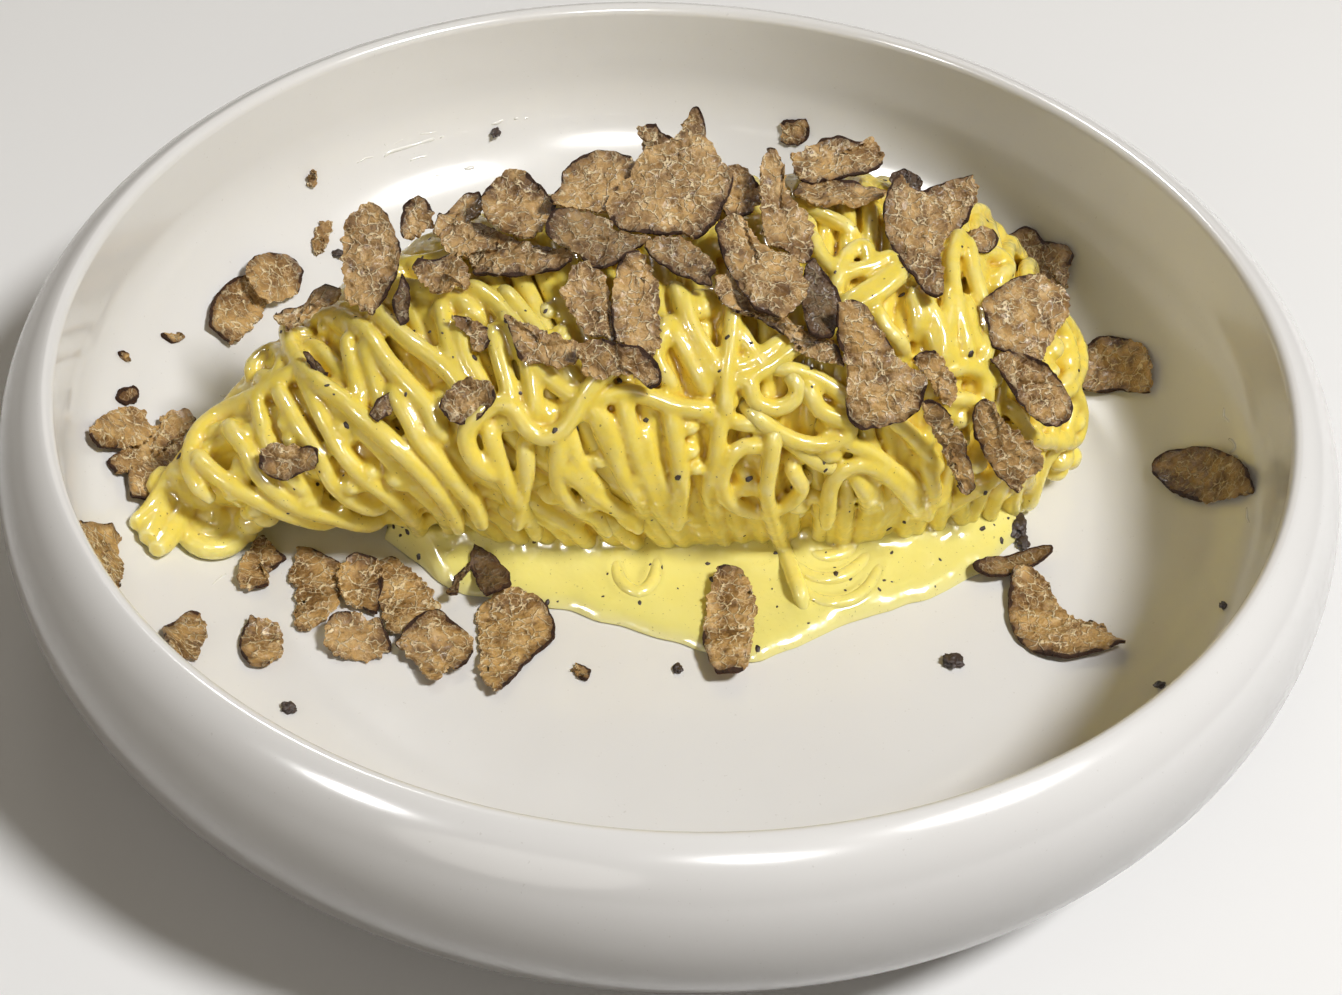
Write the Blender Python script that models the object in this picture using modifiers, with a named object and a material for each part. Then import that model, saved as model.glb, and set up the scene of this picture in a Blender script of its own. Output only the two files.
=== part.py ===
"""Spaghetti carbonara in a thick-rimmed bowl, with shaved truffle: the solids.

Named sizes are in millimetres and are multiplied by MM where Blender takes metres.
X runs along the heap to the right, Y to the back and Z up. The floor is z = 0.
"""
import math
from collections import namedtuple

import bmesh
import bpy
from mathutils import Vector
from mathutils.bvhtree import BVHTree

MM = 0.001
GAP = 0.32
SAFE_GAP = 0.36
DECIMATED_GAP = 0.6

# Bowl: a flat floor, a steep wall and a thick rolled rim.
BOWL_RADIUS = 130.0
BOWL_HEIGHT = 54.0
BELLY_HEIGHT = 35.1
LIP_RADIUS = 117.6
LIP_ROUND = 2.0
FLOOR = 9.5
FLOOR_RADIUS = 82.0
WALL_RADIUS = 118.5
WALL_RISE = 28.5
FOOT_OUTER = 86.4
FOOT_INNER = 78.0
FOOT_RECESS = 2.0
BOWL_STEPS = 40
WALL_STEPS = 5
LIP_STEPS = 2
RIM_STEPS = 4
BELLY_STEPS = 6
STEEPEST_WALL = 0.995
MERGE_DISTANCE = 0.000001

# Heap of noodles: a long twist, pointed at its left end and blunt at its right.
HEAP_LEFT = -104.0
HEAP_RIGHT = 91.0
HEAP_SPAN = 196.0
HEAP_HALF_WIDTH = 40.0
HEAP_HEIGHT_RATIO = 0.83
HEAP_LIFT_RATIO = 0.85
LEFT_TAPER = 0.6
LEFT_FULLNESS = 2.6
LEFT_BLUNTNESS = 0.8
RIGHT_TAPER_START = 35.0
RIGHT_BLUNTNESS = 0.62
MIDDLE_AT_LEFT = -26.0
MIDDLE_BEND = 29.0
MIDDLE_BEND_LENGTH = 22.0
MIDDLE_DRIFT = 0.12
LEAST_HALF_WIDTH = 0.05
LEAST_HALF_HEIGHT = 0.04
NOODLE_RADIUS = 1.65
NOODLE_PITCH = 6.6
END_MARGIN = 14.0
TIP_LIFT = 0.9
CORE_DEPTH = 2.3
CORE_SEGMENTS = 20
CORE_RINGS = 16
OUTLINE_STEPS = 48
STRAND_STEPS = 20
STRAND_START = -48.0
STRAND_TURN = 276.0
LEFT_SLANT = 17.0
SLANT_CHANGE = 23.0
SLANT_START = -20.0
SLANT_LENGTH = 80.0
LONG_WANDER = 2.0
SHORT_WANDER = 1.3
LEAST_DEPTH = 0.15
DEPTH_RANGE = 0.8
STRAND_LEFT = HEAP_LEFT + 9
STRAND_RIGHT = HEAP_RIGHT - 7
CROWDING = 0.8
DEEPEST_SHARE = 0.7
TUBE_ROUNDING = 1
KEPT_TRIANGLES = 0.68

# Sauce: a shallow pool along the heap's front.
SAUCE_TOP = 12.0
SAUCE_EDGE = 0.7
SAUCE_COLUMNS = 22
SAUCE_ROWS = 3
SAUCE_LEAST_DEPTH = 3.0
FRONT_CROWDING = 0.7
FRONT_SLOPE = 4.0
END_SLOPE = 5.0
END_LEVEL = 0.1
POOL_MARGIN = 4.0
POOL_FRONT = (
    (-55, -17), (-42, -29), (-32, -31), (-20, -32), (-8, -36), (6, -40),
    (18, -44), (26, -39), (37, -31.5), (53.5, -23), (66, -14), (71, -5),
)

# Truffle: thin slices, turned and sized as the eye in front of the bowl sees them.
SLICE_THICKNESS = 0.8
FLAT_FACING = 0.3
STIFFNESS = 0.3
FALL = 9.0
EDGE_WAVE = 0.3
LIFT_STEP = 0.25
LIFT_TRIES = 120
VIEW_ELEVATION = math.radians(44)
TO_EYE = Vector((0, -math.cos(VIEW_ELEVATION), math.sin(VIEW_ELEVATION)))
VIEW_UP = Vector((0, math.sin(VIEW_ELEVATION), math.cos(VIEW_ELEVATION)))
VIEW_RIGHT = Vector((1, 0, 0))

# place: x and angle round the heap, or x and y on the bowl. length lies along turn, in degrees
# from the right. facing 0 lies flat and 1 faces the eye, rise lifts it up the picture, curl lifts
# its ends, and each cut (angle, keep) is a torn side.
Slice = namedtuple("Slice", "place length width turn facing rise curl cuts",
                   defaults=(0, 0.0, 0.0, 0.6, ()))

HEAP_SLICES = (
    Slice((-70, 92), 12, 8, 25, 0.2, 0, 0.5, ((205, 0.55),)),
    Slice((-52, 100), 14, 8, 90, 0.9, 5, 1, ((180, 0.8), (0, 0.85))),
    Slice((-61, 88), 25, 12.5, 84, 0.75, 8, 1.5),
    Slice((-45, 102), 12, 7, 20, 0.3, 1, 1, ((90, 0.5),)),
    Slice((-36, 90), 30, 15, -4, 0.3, 0, 0.8, ((95, 0.6), (20, 0.85))),
    Slice((-32, 104), 16, 14, 60, 0.5, 1.5, 1.5),
    Slice((-17, 110), 22, 17, 20, 0.5, 0, 1.2, ((-60, 0.7),)),
    Slice((-7, 115), 15, 11, 80, 0.9, 7, 0.8, ((0, 0.6), (110, 0.65))),
    Slice((-16, 88), 25, 14, -8, 0.35, 0, 1.2, ((80, 0.7),)),
    Slice((-1, 98), 27, 21, 72, 0.75, 6, 2, ((75, 0.6), (160, 0.75))),
    Slice((0, 76), 16, 9.5, -25, 0.3, 0, 1.2),
    Slice((-18, 63), 20, 11, -60, 0.05, 0, 0.8, ((90, 0.75),)),
    Slice((-8, 60), 24, 11, 88, 0.1, 0, 1, ((-95, 0.8), (180, 0.8))),
    Slice((-25, 50), 15, 9, -15, 0.2, 0, 1.5, ((180, 0.8),)),
    Slice((-10, 43), 17, 8.5, -8, 0.1, 0, 2, ((150, 0.7),)),
    Slice((21, 53), 25, 9, -36, 0.1, 0, 0.5, ((90, 0.6),)),
    Slice((14, 70), 25, 14, -56, 0.2, 0, 1, ((0, 0.8), (100, 0.8))),
    Slice((10, 98), 11, 7, 80, 0.7, 2, 1),
    Slice((34, 98), 20, 7, 8, 0.2, 0, 0.6, ((90, 0.6),)),
    Slice((29, 108), 25, 12, 8, 0.5, 3.5, 1.2, ((-90, 0.7), (10, 0.85))),
    Slice((19, 86), 28, 9.5, -72, 0.6, 3, 1.5, ((80, 0.8),)),
    Slice((27, 58), 15, 8, -78, 0.3, 0, 1.8),
    Slice((43, 112), 9, 8, 60, 0.8, 2, 0.5, ((30, 0.6),)),
    Slice((52, 98), 14, 12, 30, 0.8, 2.5, 0.6, ((200, 0.5), (-60, 0.7))),
    Slice((45, 84), 27, 13, -68, 0.4, -1.5, 2, ((88, 0.4),)),
    Slice((68, 66), 18, 16, 20, 0.2, 0, 1, ((-40, 0.75), (10, 0.8))),
    Slice((69, 40), 21, 11, -42, 0.1, 0, 0.8),
    Slice((49, 34), 12, 8, -60, 0.05, 0, 0.8, ((90, 0.7),)),
    Slice((38, 38), 27, 15, -62, 0.15, 0, 1, ((180, 0.85),)),
    Slice((52, 16), 20, 8, -66, 0.05, 0, 1, ((90, 0.7),)),
    Slice((65, 14), 22, 15, -62, 0.05, 0, 1.2, ((85, 0.5),)),
    Slice((-73, 27), 12, 8, 0, 0, 0, 0.8, ((90, 0.8),)),
    Slice((-39, 35), 12, 10, 25, 0.05, 0, 0.8, ((-30, 0.85),)),
    Slice((-48, 87), 12, 8, -20, 0.3, 0, 2, ((60, 0.6), (200, 0.7))),
    Slice((-53, 82), 12, 4, 72, 0.5, 0, 1),
)

BOWL_SLICES = (
    Slice((-96, 46), 20, 13, 48, 0, 0, 0.8),
    Slice((-91, 56), 16, 12, 35, 0, 0, 1.2, ((150, 0.8),)),
    Slice((-105, -1), 22, 15, 62, 0, 0, 1.5, ((170, 0.7), (-80, 0.8))),
    Slice((-111.5, 0), 18, 13, 10, 0, 0, 1.2, ((60, 0.7), (-60, 0.7))),
    Slice((-108, -38), 15, 10, -62, 0, 0, 0.6, ((-90, 0.6),)),
    Slice((-90, -50), 13, 9, 60, 0, 0, 1, ((-60, 0.6),)),
    Slice((-76, -46), 13, 9.5, 80, 0, 0, 0.6),
    Slice((-78, -26), 13, 10, 60, 0, 0, 1.2, ((180, 0.7), (-60, 0.7))),
    Slice((-66.5, -32), 23, 15, 80, 0, 0, 0.5, ((-90, 0.6),)),
    Slice((-49, -32), 22, 14, -60, 0, 0, 0.5, ((-100, 0.6), (180, 0.8))),
    Slice((-60, -31), 18, 12, 60, 0.1, 0, 1.8, ((0, 0.7), (180, 0.8))),
    Slice((-58, -41), 15.5, 14, 10, 0, 0, 0.8, ((70, 0.8),)),
    Slice((-43, -44.5), 19, 14, -42, 0, 0, 1, ((-100, 0.6), (0, 0.85))),
    Slice((-28, -40), 28, 16, 80, 0, 0, 1.4, ((90, 0.55),)),
    Slice((-35, -23), 13, 9, -50, 0.3, 0, 2, ((60, 0.6), (170, 0.7))),
    Slice((13.5, -34.5), 26, 12, 86, 0.25, 0, 1.5),
    Slice((70, -13), 19, 5, 20, 0.1, 0, 2),
    Slice((80, -25), 29, 17, -40, 0.1, 0, 1.8, ((90, 0.25),)),
    Slice((110, 7), 22, 14, -5, 0, 0, 1),
    Slice((96, 44), 17, 15, 0, 0, 0, 1, ((180, 0.8), (0, 0.85))),
    Slice((77, 77), 18, 14, -30, 0, 0, 1.2, ((170, 0.7),)),
)

# Looser strands that stand proud of the twist: x, angle round the heap and height over it.
PROUD_STRANDS = (
    ((-37, -12, 0), (-36, 12, 1), (-32, 28, 1.2), (-27, 26, 1.4), (-23, 21, 1.4), (-19, 25, 1.2),
     (-15, 34, 1), (-10, 40, 0.6), (-3, 36, 0.6), (4, 31, 0)),
    ((8, 74, -0.6), (9, 54, 0), (9, 37, 1), (9, 22, 1), (10, 8, 0.6), (11, -8, 0)),
    ((15, 44, -0.6), (17, 34, 0), (19, 25, 1.2), (24, 21, 1.4), (29, 26, 1), (30, 38, -0.6)),
    ((27, 24, 0), (34, 18, 0.8), (40, 10, 1), (45, -5, 0.6), (47, -22, 0)),
    ((76, 96, 0), (80, 70, 0.6), (79, 40, 0.6), (75, 18, 0.2)),
    ((-90, 110, 0), (-84, 78, 0.4), (-78, 50, 0.6), (-70, 24, 0.6), (-60, 2, 0.2)),
)
PROUD_SPACING = 4.0
TIP_SPACING = 3.5
TIP_RADIUS = 2.0
TIP_STRAND = ((-89, -8, 30), (-93, -13, 25.5), (-97, -22, 22), (-100, -29.5, 19.5))
TIP_LOOP = ((-91, -12, 27), (-87, -15, 20), (-84, -20, 15.5), (-87, -24.5, 13), (-92, -25, 14),
            (-95, -21, 16.5), (-93, -17, 20))


def clear_scene():
    for item in list(bpy.data.objects):
        bpy.data.objects.remove(item)


def new_collection(name, guide=False):
    collection = bpy.data.collections.new(name)
    bpy.context.scene.collection.children.link(collection)
    collection.hide_render = guide
    return collection


def new_material(name, colour, roughness):
    material = bpy.data.materials.new(name)
    material.use_nodes = True
    shader = material.node_tree.nodes["Principled BSDF"]
    shader.inputs["Base Color"].default_value = (*colour, 1)
    shader.inputs["Roughness"].default_value = roughness
    shader.inputs["Metallic"].default_value = 0
    return material


def add_object(name, bm, collection, material=None):
    mesh = bpy.data.meshes.new(name)
    bm.to_mesh(mesh)
    bm.free()
    item = bpy.data.objects.new(name, mesh)
    collection.objects.link(item)
    if material:
        mesh.materials.append(material)
    if collection.hide_render:
        item.display_type = "WIRE"
    return item


def evaluated_bmesh(item):
    """The object's mesh with its modifiers, in metres."""
    bpy.context.view_layer.update()
    shape = item.evaluated_get(bpy.context.evaluated_depsgraph_get())
    bm = bmesh.new()
    bm.from_mesh(shape.to_mesh())
    shape.to_mesh_clear()
    return bm


def point_outwards(bm):
    bmesh.ops.recalc_face_normals(bm, faces=bm.faces)
    if bm.calc_volume(signed=True) < 0:
        bmesh.ops.reverse_faces(bm, faces=bm.faces)


# Bowl

def arc(centre, radii, start, end, count):
    """Points (radius, height) on an elliptical arc, with angles in degrees from the outside."""
    for k in range(count + 1):
        angle = math.radians(start + (end - start) * k / count)
        yield (centre[0] + radii[0] * math.cos(angle), centre[1] + radii[1] * math.sin(angle))


def bowl_profile():
    """From the middle of the floor, up the wall, over the rim and down to the foot."""
    points = [(0, FLOOR)]
    points += arc((FLOOR_RADIUS, FLOOR + WALL_RISE),
                  (WALL_RADIUS - FLOOR_RADIUS, WALL_RISE), -90, 0, WALL_STEPS)
    upper = (BOWL_RADIUS - LIP_RADIUS, BOWL_HEIGHT - BELLY_HEIGHT)
    lip_angle = math.degrees(math.acos(LIP_ROUND / upper[0]))
    lip_height = BELLY_HEIGHT + upper[1] * math.sin(math.radians(lip_angle))
    points += arc((LIP_RADIUS + LIP_ROUND, lip_height - LIP_ROUND),
                  (LIP_ROUND, LIP_ROUND), 180, 100, LIP_STEPS)
    points += arc((LIP_RADIUS, BELLY_HEIGHT), upper, lip_angle, 0, RIM_STEPS)
    points += list(arc((FOOT_OUTER, BELLY_HEIGHT),
                       (BOWL_RADIUS - FOOT_OUTER, BELLY_HEIGHT), 0, -90, BELLY_STEPS))[1:]
    points += [(FOOT_INNER, 0), (FOOT_INNER - FOOT_RECESS, FOOT_RECESS), (0, FOOT_RECESS)]
    return points


def make_bowl(collection, material):
    points = bowl_profile()
    bm = bmesh.new()
    corners = [bm.verts.new((radius * MM, 0, height * MM)) for radius, height in points]
    for start, end in zip(corners, corners[1:]):
        bm.edges.new((start, end))
    bowl = add_object("bowl", bm, collection, material)
    turn = bowl.modifiers.new("turn", "SCREW")
    turn.axis = "Z"
    turn.steps = BOWL_STEPS
    turn.render_steps = BOWL_STEPS
    turn.use_merge_vertices = True
    turn.merge_threshold = 10 * MERGE_DISTANCE
    return bowl


def bowl_surface(x, y):
    """Point on the inside of the bowl and the direction out of its surface."""
    radius = math.hypot(x, y)
    if radius <= FLOOR_RADIUS:
        return Vector((x, y, FLOOR)), Vector((0, 0, 1))
    reach = WALL_RADIUS - FLOOR_RADIUS
    part = min(STEEPEST_WALL, (radius - FLOOR_RADIUS) / reach)
    drop = math.sqrt(1 - part * part)
    height = FLOOR + WALL_RISE * (1 - drop)
    slope = WALL_RISE * part / (reach * drop)
    normal = Vector((-slope * x / radius, -slope * y / radius, 1)).normalized()
    return Vector((x, y, height)), normal


def above_bowl(point, clearance):
    """The point, raised where it would be nearer to the bowl than the clearance."""
    under, normal = bowl_surface(point.x, point.y)
    return Vector((point.x, point.y, max(point.z, under.z + clearance / normal.z)))


# Heap of noodles

def heap_half_width(x):
    part = min(1.0, max(0.0, (x - HEAP_LEFT) / HEAP_SPAN))
    left = (1 - (1 - min(1.0, part / LEFT_TAPER)) ** LEFT_FULLNESS) ** LEFT_BLUNTNESS
    beyond = max(0.0, x - RIGHT_TAPER_START) / (HEAP_RIGHT - RIGHT_TAPER_START)
    right = max(0.0, 1 - beyond ** 2) ** RIGHT_BLUNTNESS
    return HEAP_HALF_WIDTH * left * right


def heap_middle(x):
    along = x - HEAP_LEFT
    bend = MIDDLE_BEND * (1 - math.exp(-along / MIDDLE_BEND_LENGTH))
    return MIDDLE_AT_LEFT + bend + MIDDLE_DRIFT * along


def heap_base(x):
    """The height that the heap stands on, which rises where its ends meet the bowl's wall."""
    rise = bowl_surface(x, heap_middle(x))[0].z - FLOOR
    return FLOOR + rise + min(TIP_LIFT, rise)


def heap_surface(x, angle):
    """Point on the heap and the direction out of it. Angle 0 is its front, 90 its top."""
    half = heap_half_width(x)
    tall = HEAP_HEIGHT_RATIO * half
    middle = heap_base(x) + HEAP_LIFT_RATIO * tall
    across = math.cos(math.radians(angle))
    up = math.sin(math.radians(angle))
    point = Vector((x, heap_middle(x) - half * across, middle + tall * up))
    normal = Vector((0, -across / HEAP_HALF_WIDTH, up / (HEAP_HALF_WIDTH * HEAP_HEIGHT_RATIO)))
    return point, normal.normalized()


def heap_solid(depth, segments, rings):
    """A closed form that lies the given depth under the heap's outline."""
    bm = bmesh.new()
    bmesh.ops.create_uvsphere(bm, u_segments=segments, v_segments=rings, radius=1)
    middle = (HEAP_LEFT + HEAP_RIGHT) / 2
    reach = (HEAP_RIGHT - HEAP_LEFT) / 2 - depth
    for vertex in bm.verts:
        along = math.asin(max(-1.0, min(1.0, vertex.co.z))) / (math.pi / 2)
        x = middle + reach * math.sin(along * math.pi / 2)
        angle = math.atan2(vertex.co.y, -vertex.co.x)
        half = max(LEAST_HALF_WIDTH, heap_half_width(x) - depth)
        tall = max(LEAST_HALF_HEIGHT, HEAP_HEIGHT_RATIO * heap_half_width(x) - depth)
        base = heap_base(x) + HEAP_LIFT_RATIO * HEAP_HEIGHT_RATIO * heap_half_width(x)
        point = Vector((x, heap_middle(x) - half * math.cos(angle), base + tall * math.sin(angle)))
        vertex.co = above_bowl(point, DECIMATED_GAP) * MM
    point_outwards(bm)
    return bm


def in_pool(x):
    return POOL_FRONT[0][0] - POOL_MARGIN < x < POOL_FRONT[-1][0] + POOL_MARGIN


def lowest_angle(x, side):
    """The angle at which a strand just clears the sauce in front, or the bowl behind."""
    rise = SAUCE_TOP - FLOOR if side < 0 and in_pool(x) else 0
    tall = HEAP_HEIGHT_RATIO * heap_half_width(x) - NOODLE_RADIUS
    drop = (rise + SAFE_GAP + NOODLE_RADIUS) / max(tall, 0.1) - HEAP_LIFT_RATIO
    angle = math.degrees(math.asin(max(-1.0, min(1.0, drop))))
    return angle if side < 0 else 180 - angle


def strand_slant(x):
    """How far a strand runs to the right while it turns a quarter of the way round."""
    if x < SLANT_START:
        return LEFT_SLANT
    return LEFT_SLANT - SLANT_CHANGE * min(1.0, (x - SLANT_START) / SLANT_LENGTH)


def eased(x, low, high):
    """Keeps x near the range, and strands that leave it apart from each other."""
    return x + CROWDING * (max(0.0, low - x) - max(0.0, x - high))


def wound_strand(number, x):
    """One strand over the heap, from the sauce in front to the floor behind."""
    points = []
    slant = strand_slant(x)
    phase = number * 2.4
    for k in range(STRAND_STEPS + 1):
        part = k / STRAND_STEPS
        angle = STRAND_START + STRAND_TURN * part
        place = x + slant * (90 - angle) / 90 + LONG_WANDER * math.sin(3.6 * part + phase)
        place += SHORT_WANDER * math.sin(9 * part + 1.7 * phase)
        place = eased(place, STRAND_LEFT, STRAND_RIGHT)
        angle = min(lowest_angle(place, 1), max(lowest_angle(place, -1), angle))
        point, normal = heap_surface(place, angle)
        depth = NOODLE_RADIUS + LEAST_DEPTH
        depth += DEPTH_RANGE * (1 + math.sin(7 * part + 1.3 * phase)) / 2
        point -= normal * min(depth, heap_half_width(place) * DEEPEST_SHARE)
        point = above_bowl(point, DECIMATED_GAP + NOODLE_RADIUS)
        if not points or (point - points[-1]).length > NOODLE_RADIUS:
            points.append(point)
    return points


def smooth_path(points, spacing):
    """A Catmull-Rom curve through hand-placed points."""
    ends = [2 * points[0] - points[1], *points, 2 * points[-1] - points[-2]]
    path = []
    for k in range(len(points) - 1):
        before, start, end, after = ends[k:k + 4]
        count = max(1, round((end - start).length / spacing))
        for step in range(count):
            t = step / count
            path.append(0.5 * (2 * start + (end - before) * t
                               + (2 * before - 5 * start + 4 * end - after) * t ** 2
                               + (3 * start - before - 3 * end + after) * t ** 3))
    return path + [points[-1]]


def proud_strand(stops):
    points = []
    for x, angle, height in stops:
        point, normal = heap_surface(x, max(angle, lowest_angle(x, -1)))
        points.append(point + normal * (height - NOODLE_RADIUS))
    return smooth_path(points, PROUD_SPACING)


def tube(name, points, radius, collection):
    """A round strand as a mesh, from a curve with a bevel and filled caps."""
    curve = bpy.data.curves.new(name, "CURVE")
    curve.dimensions = "3D"
    curve.bevel_depth = radius * MM
    curve.bevel_resolution = TUBE_ROUNDING
    curve.use_fill_caps = True
    spline = curve.splines.new("POLY")
    spline.points.add(len(points) - 1)
    for stop, point in zip(spline.points, points):
        stop.co = (*(point * MM), 1)
    path = bpy.data.objects.new(name + "_path", curve)
    collection.objects.link(path)
    bm = evaluated_bmesh(path)
    bpy.data.objects.remove(path)
    bmesh.ops.remove_doubles(bm, verts=bm.verts, dist=MERGE_DISTANCE)
    bmesh.ops.recalc_face_normals(bm, faces=bm.faces)
    return add_object(name, bm, collection)


def islands(bm):
    """Groups of faces that hang together."""
    left = set(bm.faces)
    groups = []
    while left:
        stack = [left.pop()]
        group = set(stack)
        while stack:
            for edge in stack.pop().edges:
                for face in edge.link_faces:
                    if face in left:
                        left.discard(face)
                        group.add(face)
                        stack.append(face)
        groups.append(group)
    return groups


def keep_largest(bm):
    """Drops loose scraps and fills sealed hollows."""
    groups = sorted(islands(bm), key=len)
    for group in groups[:-1]:
        bmesh.ops.delete(bm, geom=list(group), context="FACES")


def make_noodles(collection, strands, material):
    core = add_object("noodles", heap_solid(CORE_DEPTH, CORE_SEGMENTS, CORE_RINGS), collection, material)
    count = int((HEAP_RIGHT - HEAP_LEFT - 2 * END_MARGIN) / NOODLE_PITCH)
    for k in range(count + 1):
        x = HEAP_LEFT + END_MARGIN + k * NOODLE_PITCH
        tube(f"strand_{k:02d}", wound_strand(k, x), NOODLE_RADIUS, strands)
    for k, stops in enumerate(PROUD_STRANDS):
        tube(f"proud_strand_{k}", proud_strand(stops), NOODLE_RADIUS, strands)
    for name, stops, radius in (("tip_strand", TIP_STRAND, TIP_RADIUS),
                                ("tip_loop", TIP_LOOP, NOODLE_RADIUS)):
        path = smooth_path([Vector(stop) for stop in stops], TIP_SPACING)
        tube(name, [above_bowl(point, DECIMATED_GAP + radius) for point in path], radius, strands)
    fuse = core.modifiers.new("fuse", "BOOLEAN")
    fuse.operation = "UNION"
    fuse.operand_type = "COLLECTION"
    fuse.collection = strands
    lighten = core.modifiers.new("lighten", "DECIMATE")
    lighten.ratio = KEPT_TRIANGLES
    bm = evaluated_bmesh(core)
    core.modifiers.clear()
    keep_largest(bm)
    bmesh.ops.triangulate(bm, faces=bm.faces)
    point_outwards(bm)
    bm.to_mesh(core.data)
    bm.free()
    for item in list(strands.objects):
        bpy.data.objects.remove(item)
    return core


# Sauce

def pool_front(x):
    for (x0, y0), (x1, y1) in zip(POOL_FRONT, POOL_FRONT[1:]):
        if x <= x1:
            return y0 + (y1 - y0) * (x - x0) / (x1 - x0)
    return POOL_FRONT[-1][1]


def core_front(x):
    """Front of the heap's core at the height of the sauce."""
    half = heap_half_width(x) - CORE_DEPTH
    tall = HEAP_HEIGHT_RATIO * heap_half_width(x) - CORE_DEPTH
    base = FLOOR + HEAP_LIFT_RATIO * HEAP_HEIGHT_RATIO * heap_half_width(x)
    drop = min(1.0, (base - SAUCE_TOP) / tall)
    return heap_middle(x) - half * math.sqrt(1 - drop * drop) - 2 * GAP


def make_sauce(collection, material):
    """A grid stretched between the heap and the pool's front, thinning to its edges."""
    left, right = POOL_FRONT[0][0], POOL_FRONT[-1][0]
    bm = bmesh.new()
    bmesh.ops.create_grid(bm, x_segments=SAUCE_COLUMNS, y_segments=SAUCE_ROWS, size=0.5)
    for vertex in bm.verts:
        x = left + (right - left) * (vertex.co.x + 0.5)
        back = core_front(x)
        front = min(pool_front(x), back - SAUCE_LEAST_DEPTH)
        part = (vertex.co.y + 0.5) ** FRONT_CROWDING
        y = front + (back - front) * part
        end = min(x - left, right - x)
        edge = min(1.0, (y - front) / FRONT_SLOPE, end / END_SLOPE + END_LEVEL)
        level = SAUCE_EDGE + (SAUCE_TOP - FLOOR - SAUCE_EDGE) * math.sqrt(max(0.0, edge))
        vertex.co = Vector((x, y, FLOOR + level)) * MM
    sheet = list(bm.faces)
    grown = bmesh.ops.extrude_face_region(bm, geom=sheet)
    for item in grown["geom"]:
        if isinstance(item, bmesh.types.BMVert):
            item.co.z = (FLOOR + GAP) * MM
    bmesh.ops.recalc_face_normals(bm, faces=bm.faces)
    bmesh.ops.triangulate(bm, faces=bm.faces)
    return add_object("sauce", bm, collection, material)


# Truffle

def slice_frame(item, surface):
    """The slice's middle and its length, width and upward directions."""
    place, normal = surface
    place = place + VIEW_UP * item.rise
    normal = (normal * (1 - item.facing) + TO_EYE * item.facing).normalized()
    turn = math.radians(item.turn)
    seen = VIEW_RIGHT * math.cos(turn) + VIEW_UP * math.sin(turn)
    along = (seen - TO_EYE * (seen.dot(normal) / TO_EYE.dot(normal))).normalized()
    return place, along, normal.cross(along), normal


def slice_edge(item, number, turn):
    """The slice's edge in its own plane: an uneven oval with its torn sides cut straight."""
    uneven = 1 + 0.05 * math.sin(2 * turn + number) + 0.04 * math.sin(3 * turn + 2.3 * number)
    across = math.cos(turn) * uneven
    up = math.sin(turn) * uneven
    for cut, keep in item.cuts:
        reach = across * math.cos(math.radians(cut)) + up * math.sin(math.radians(cut))
        if reach > keep:
            across *= keep / reach
            up *= keep / reach
    return across * item.length / 2, up * item.width / 2


def slice_sheet(item, number):
    """A flat disc of triangles in the slice's plane, in millimetres."""
    sides = 12 if item.length > 18 else 10 if item.length > 12.5 else 8
    bm = bmesh.new()
    bmesh.ops.create_circle(bm, cap_ends=True, cap_tris=True, segments=sides, radius=1)
    spokes = [edge for edge in bm.edges if not edge.is_boundary]
    bmesh.ops.subdivide_edges(bm, edges=spokes, cuts=1)
    bmesh.ops.triangulate(bm, faces=bm.faces)
    for vertex in bm.verts:
        out = vertex.co.to_2d().length
        across, up = slice_edge(item, number, math.atan2(vertex.co.y, vertex.co.x))
        vertex.co = Vector((across * out, up * out, 0))
    return bm


def resting_heights(points, frame, supports, reach):
    """Heights at which a fairly stiff sheet lies over what is under it."""
    place, along, wide, normal = frame
    hits = []
    for point in points:
        start = place + along * point.x + wide * point.y + normal * reach
        found = [tree.ray_cast(start * MM, -normal, 2 * reach * MM) for tree in supports]
        depths = [hit[3] / MM for hit in found if hit[0]]
        hits.append(reach - min(depths) if depths else -reach)
    heights = []
    for point in points:
        over = [hit - STIFFNESS * (point - other).length for hit, other in zip(hits, points)]
        heights.append(max(over))
    return heights


def too_close(bm, tree, support):
    if tree.overlap(support):
        return True
    return any(support.find_nearest(v.co, SAFE_GAP * MM)[0] for v in bm.verts)


def make_slice(number, item, surface, supports, others, collection, material):
    """Lays a slice on its supports, then moves it towards the eye until it is clear of all."""
    place, along, wide, normal = slice_frame(item, surface)
    bm = slice_sheet(item, number)
    points = [Vector((v.co.x, v.co.y, 0)) for v in bm.verts]
    flat = item.facing <= FLAT_FACING
    heights = [0.0] * len(points)
    if flat:
        heights = resting_heights(points, (place, along, wide, normal), supports, FALL)
    for vertex, point, height in zip(bm.verts, points, heights):
        end = abs(point.x) / (item.length / 2)
        side = abs(point.y) / (item.width / 2)
        ripple = 1 + math.sin(3 * math.atan2(point.y, point.x) + number)
        wave = EDGE_WAVE * ripple * (end + side) / 2
        height += item.curl * end ** 2 + wave + SAFE_GAP
        vertex.co = place + along * point.x + wide * point.y + normal * height
    grown = bmesh.ops.extrude_face_region(bm, geom=list(bm.faces))
    for part in grown["geom"]:
        if isinstance(part, bmesh.types.BMVert):
            part.co += normal * SLICE_THICKNESS
    bmesh.ops.recalc_face_normals(bm, faces=bm.faces)
    bmesh.ops.scale(bm, vec=(MM, MM, MM), verts=bm.verts)
    for _ in range(LIFT_TRIES):
        tree = BVHTree.FromBMesh(bm)
        if not any(too_close(bm, tree, other) for other in supports + others):
            break
        bmesh.ops.translate(bm, vec=TO_EYE * LIFT_STEP * MM, verts=bm.verts)
    supports.append(tree)
    return add_object(f"truffle_slice_{number:02d}", bm, collection, material)


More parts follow.
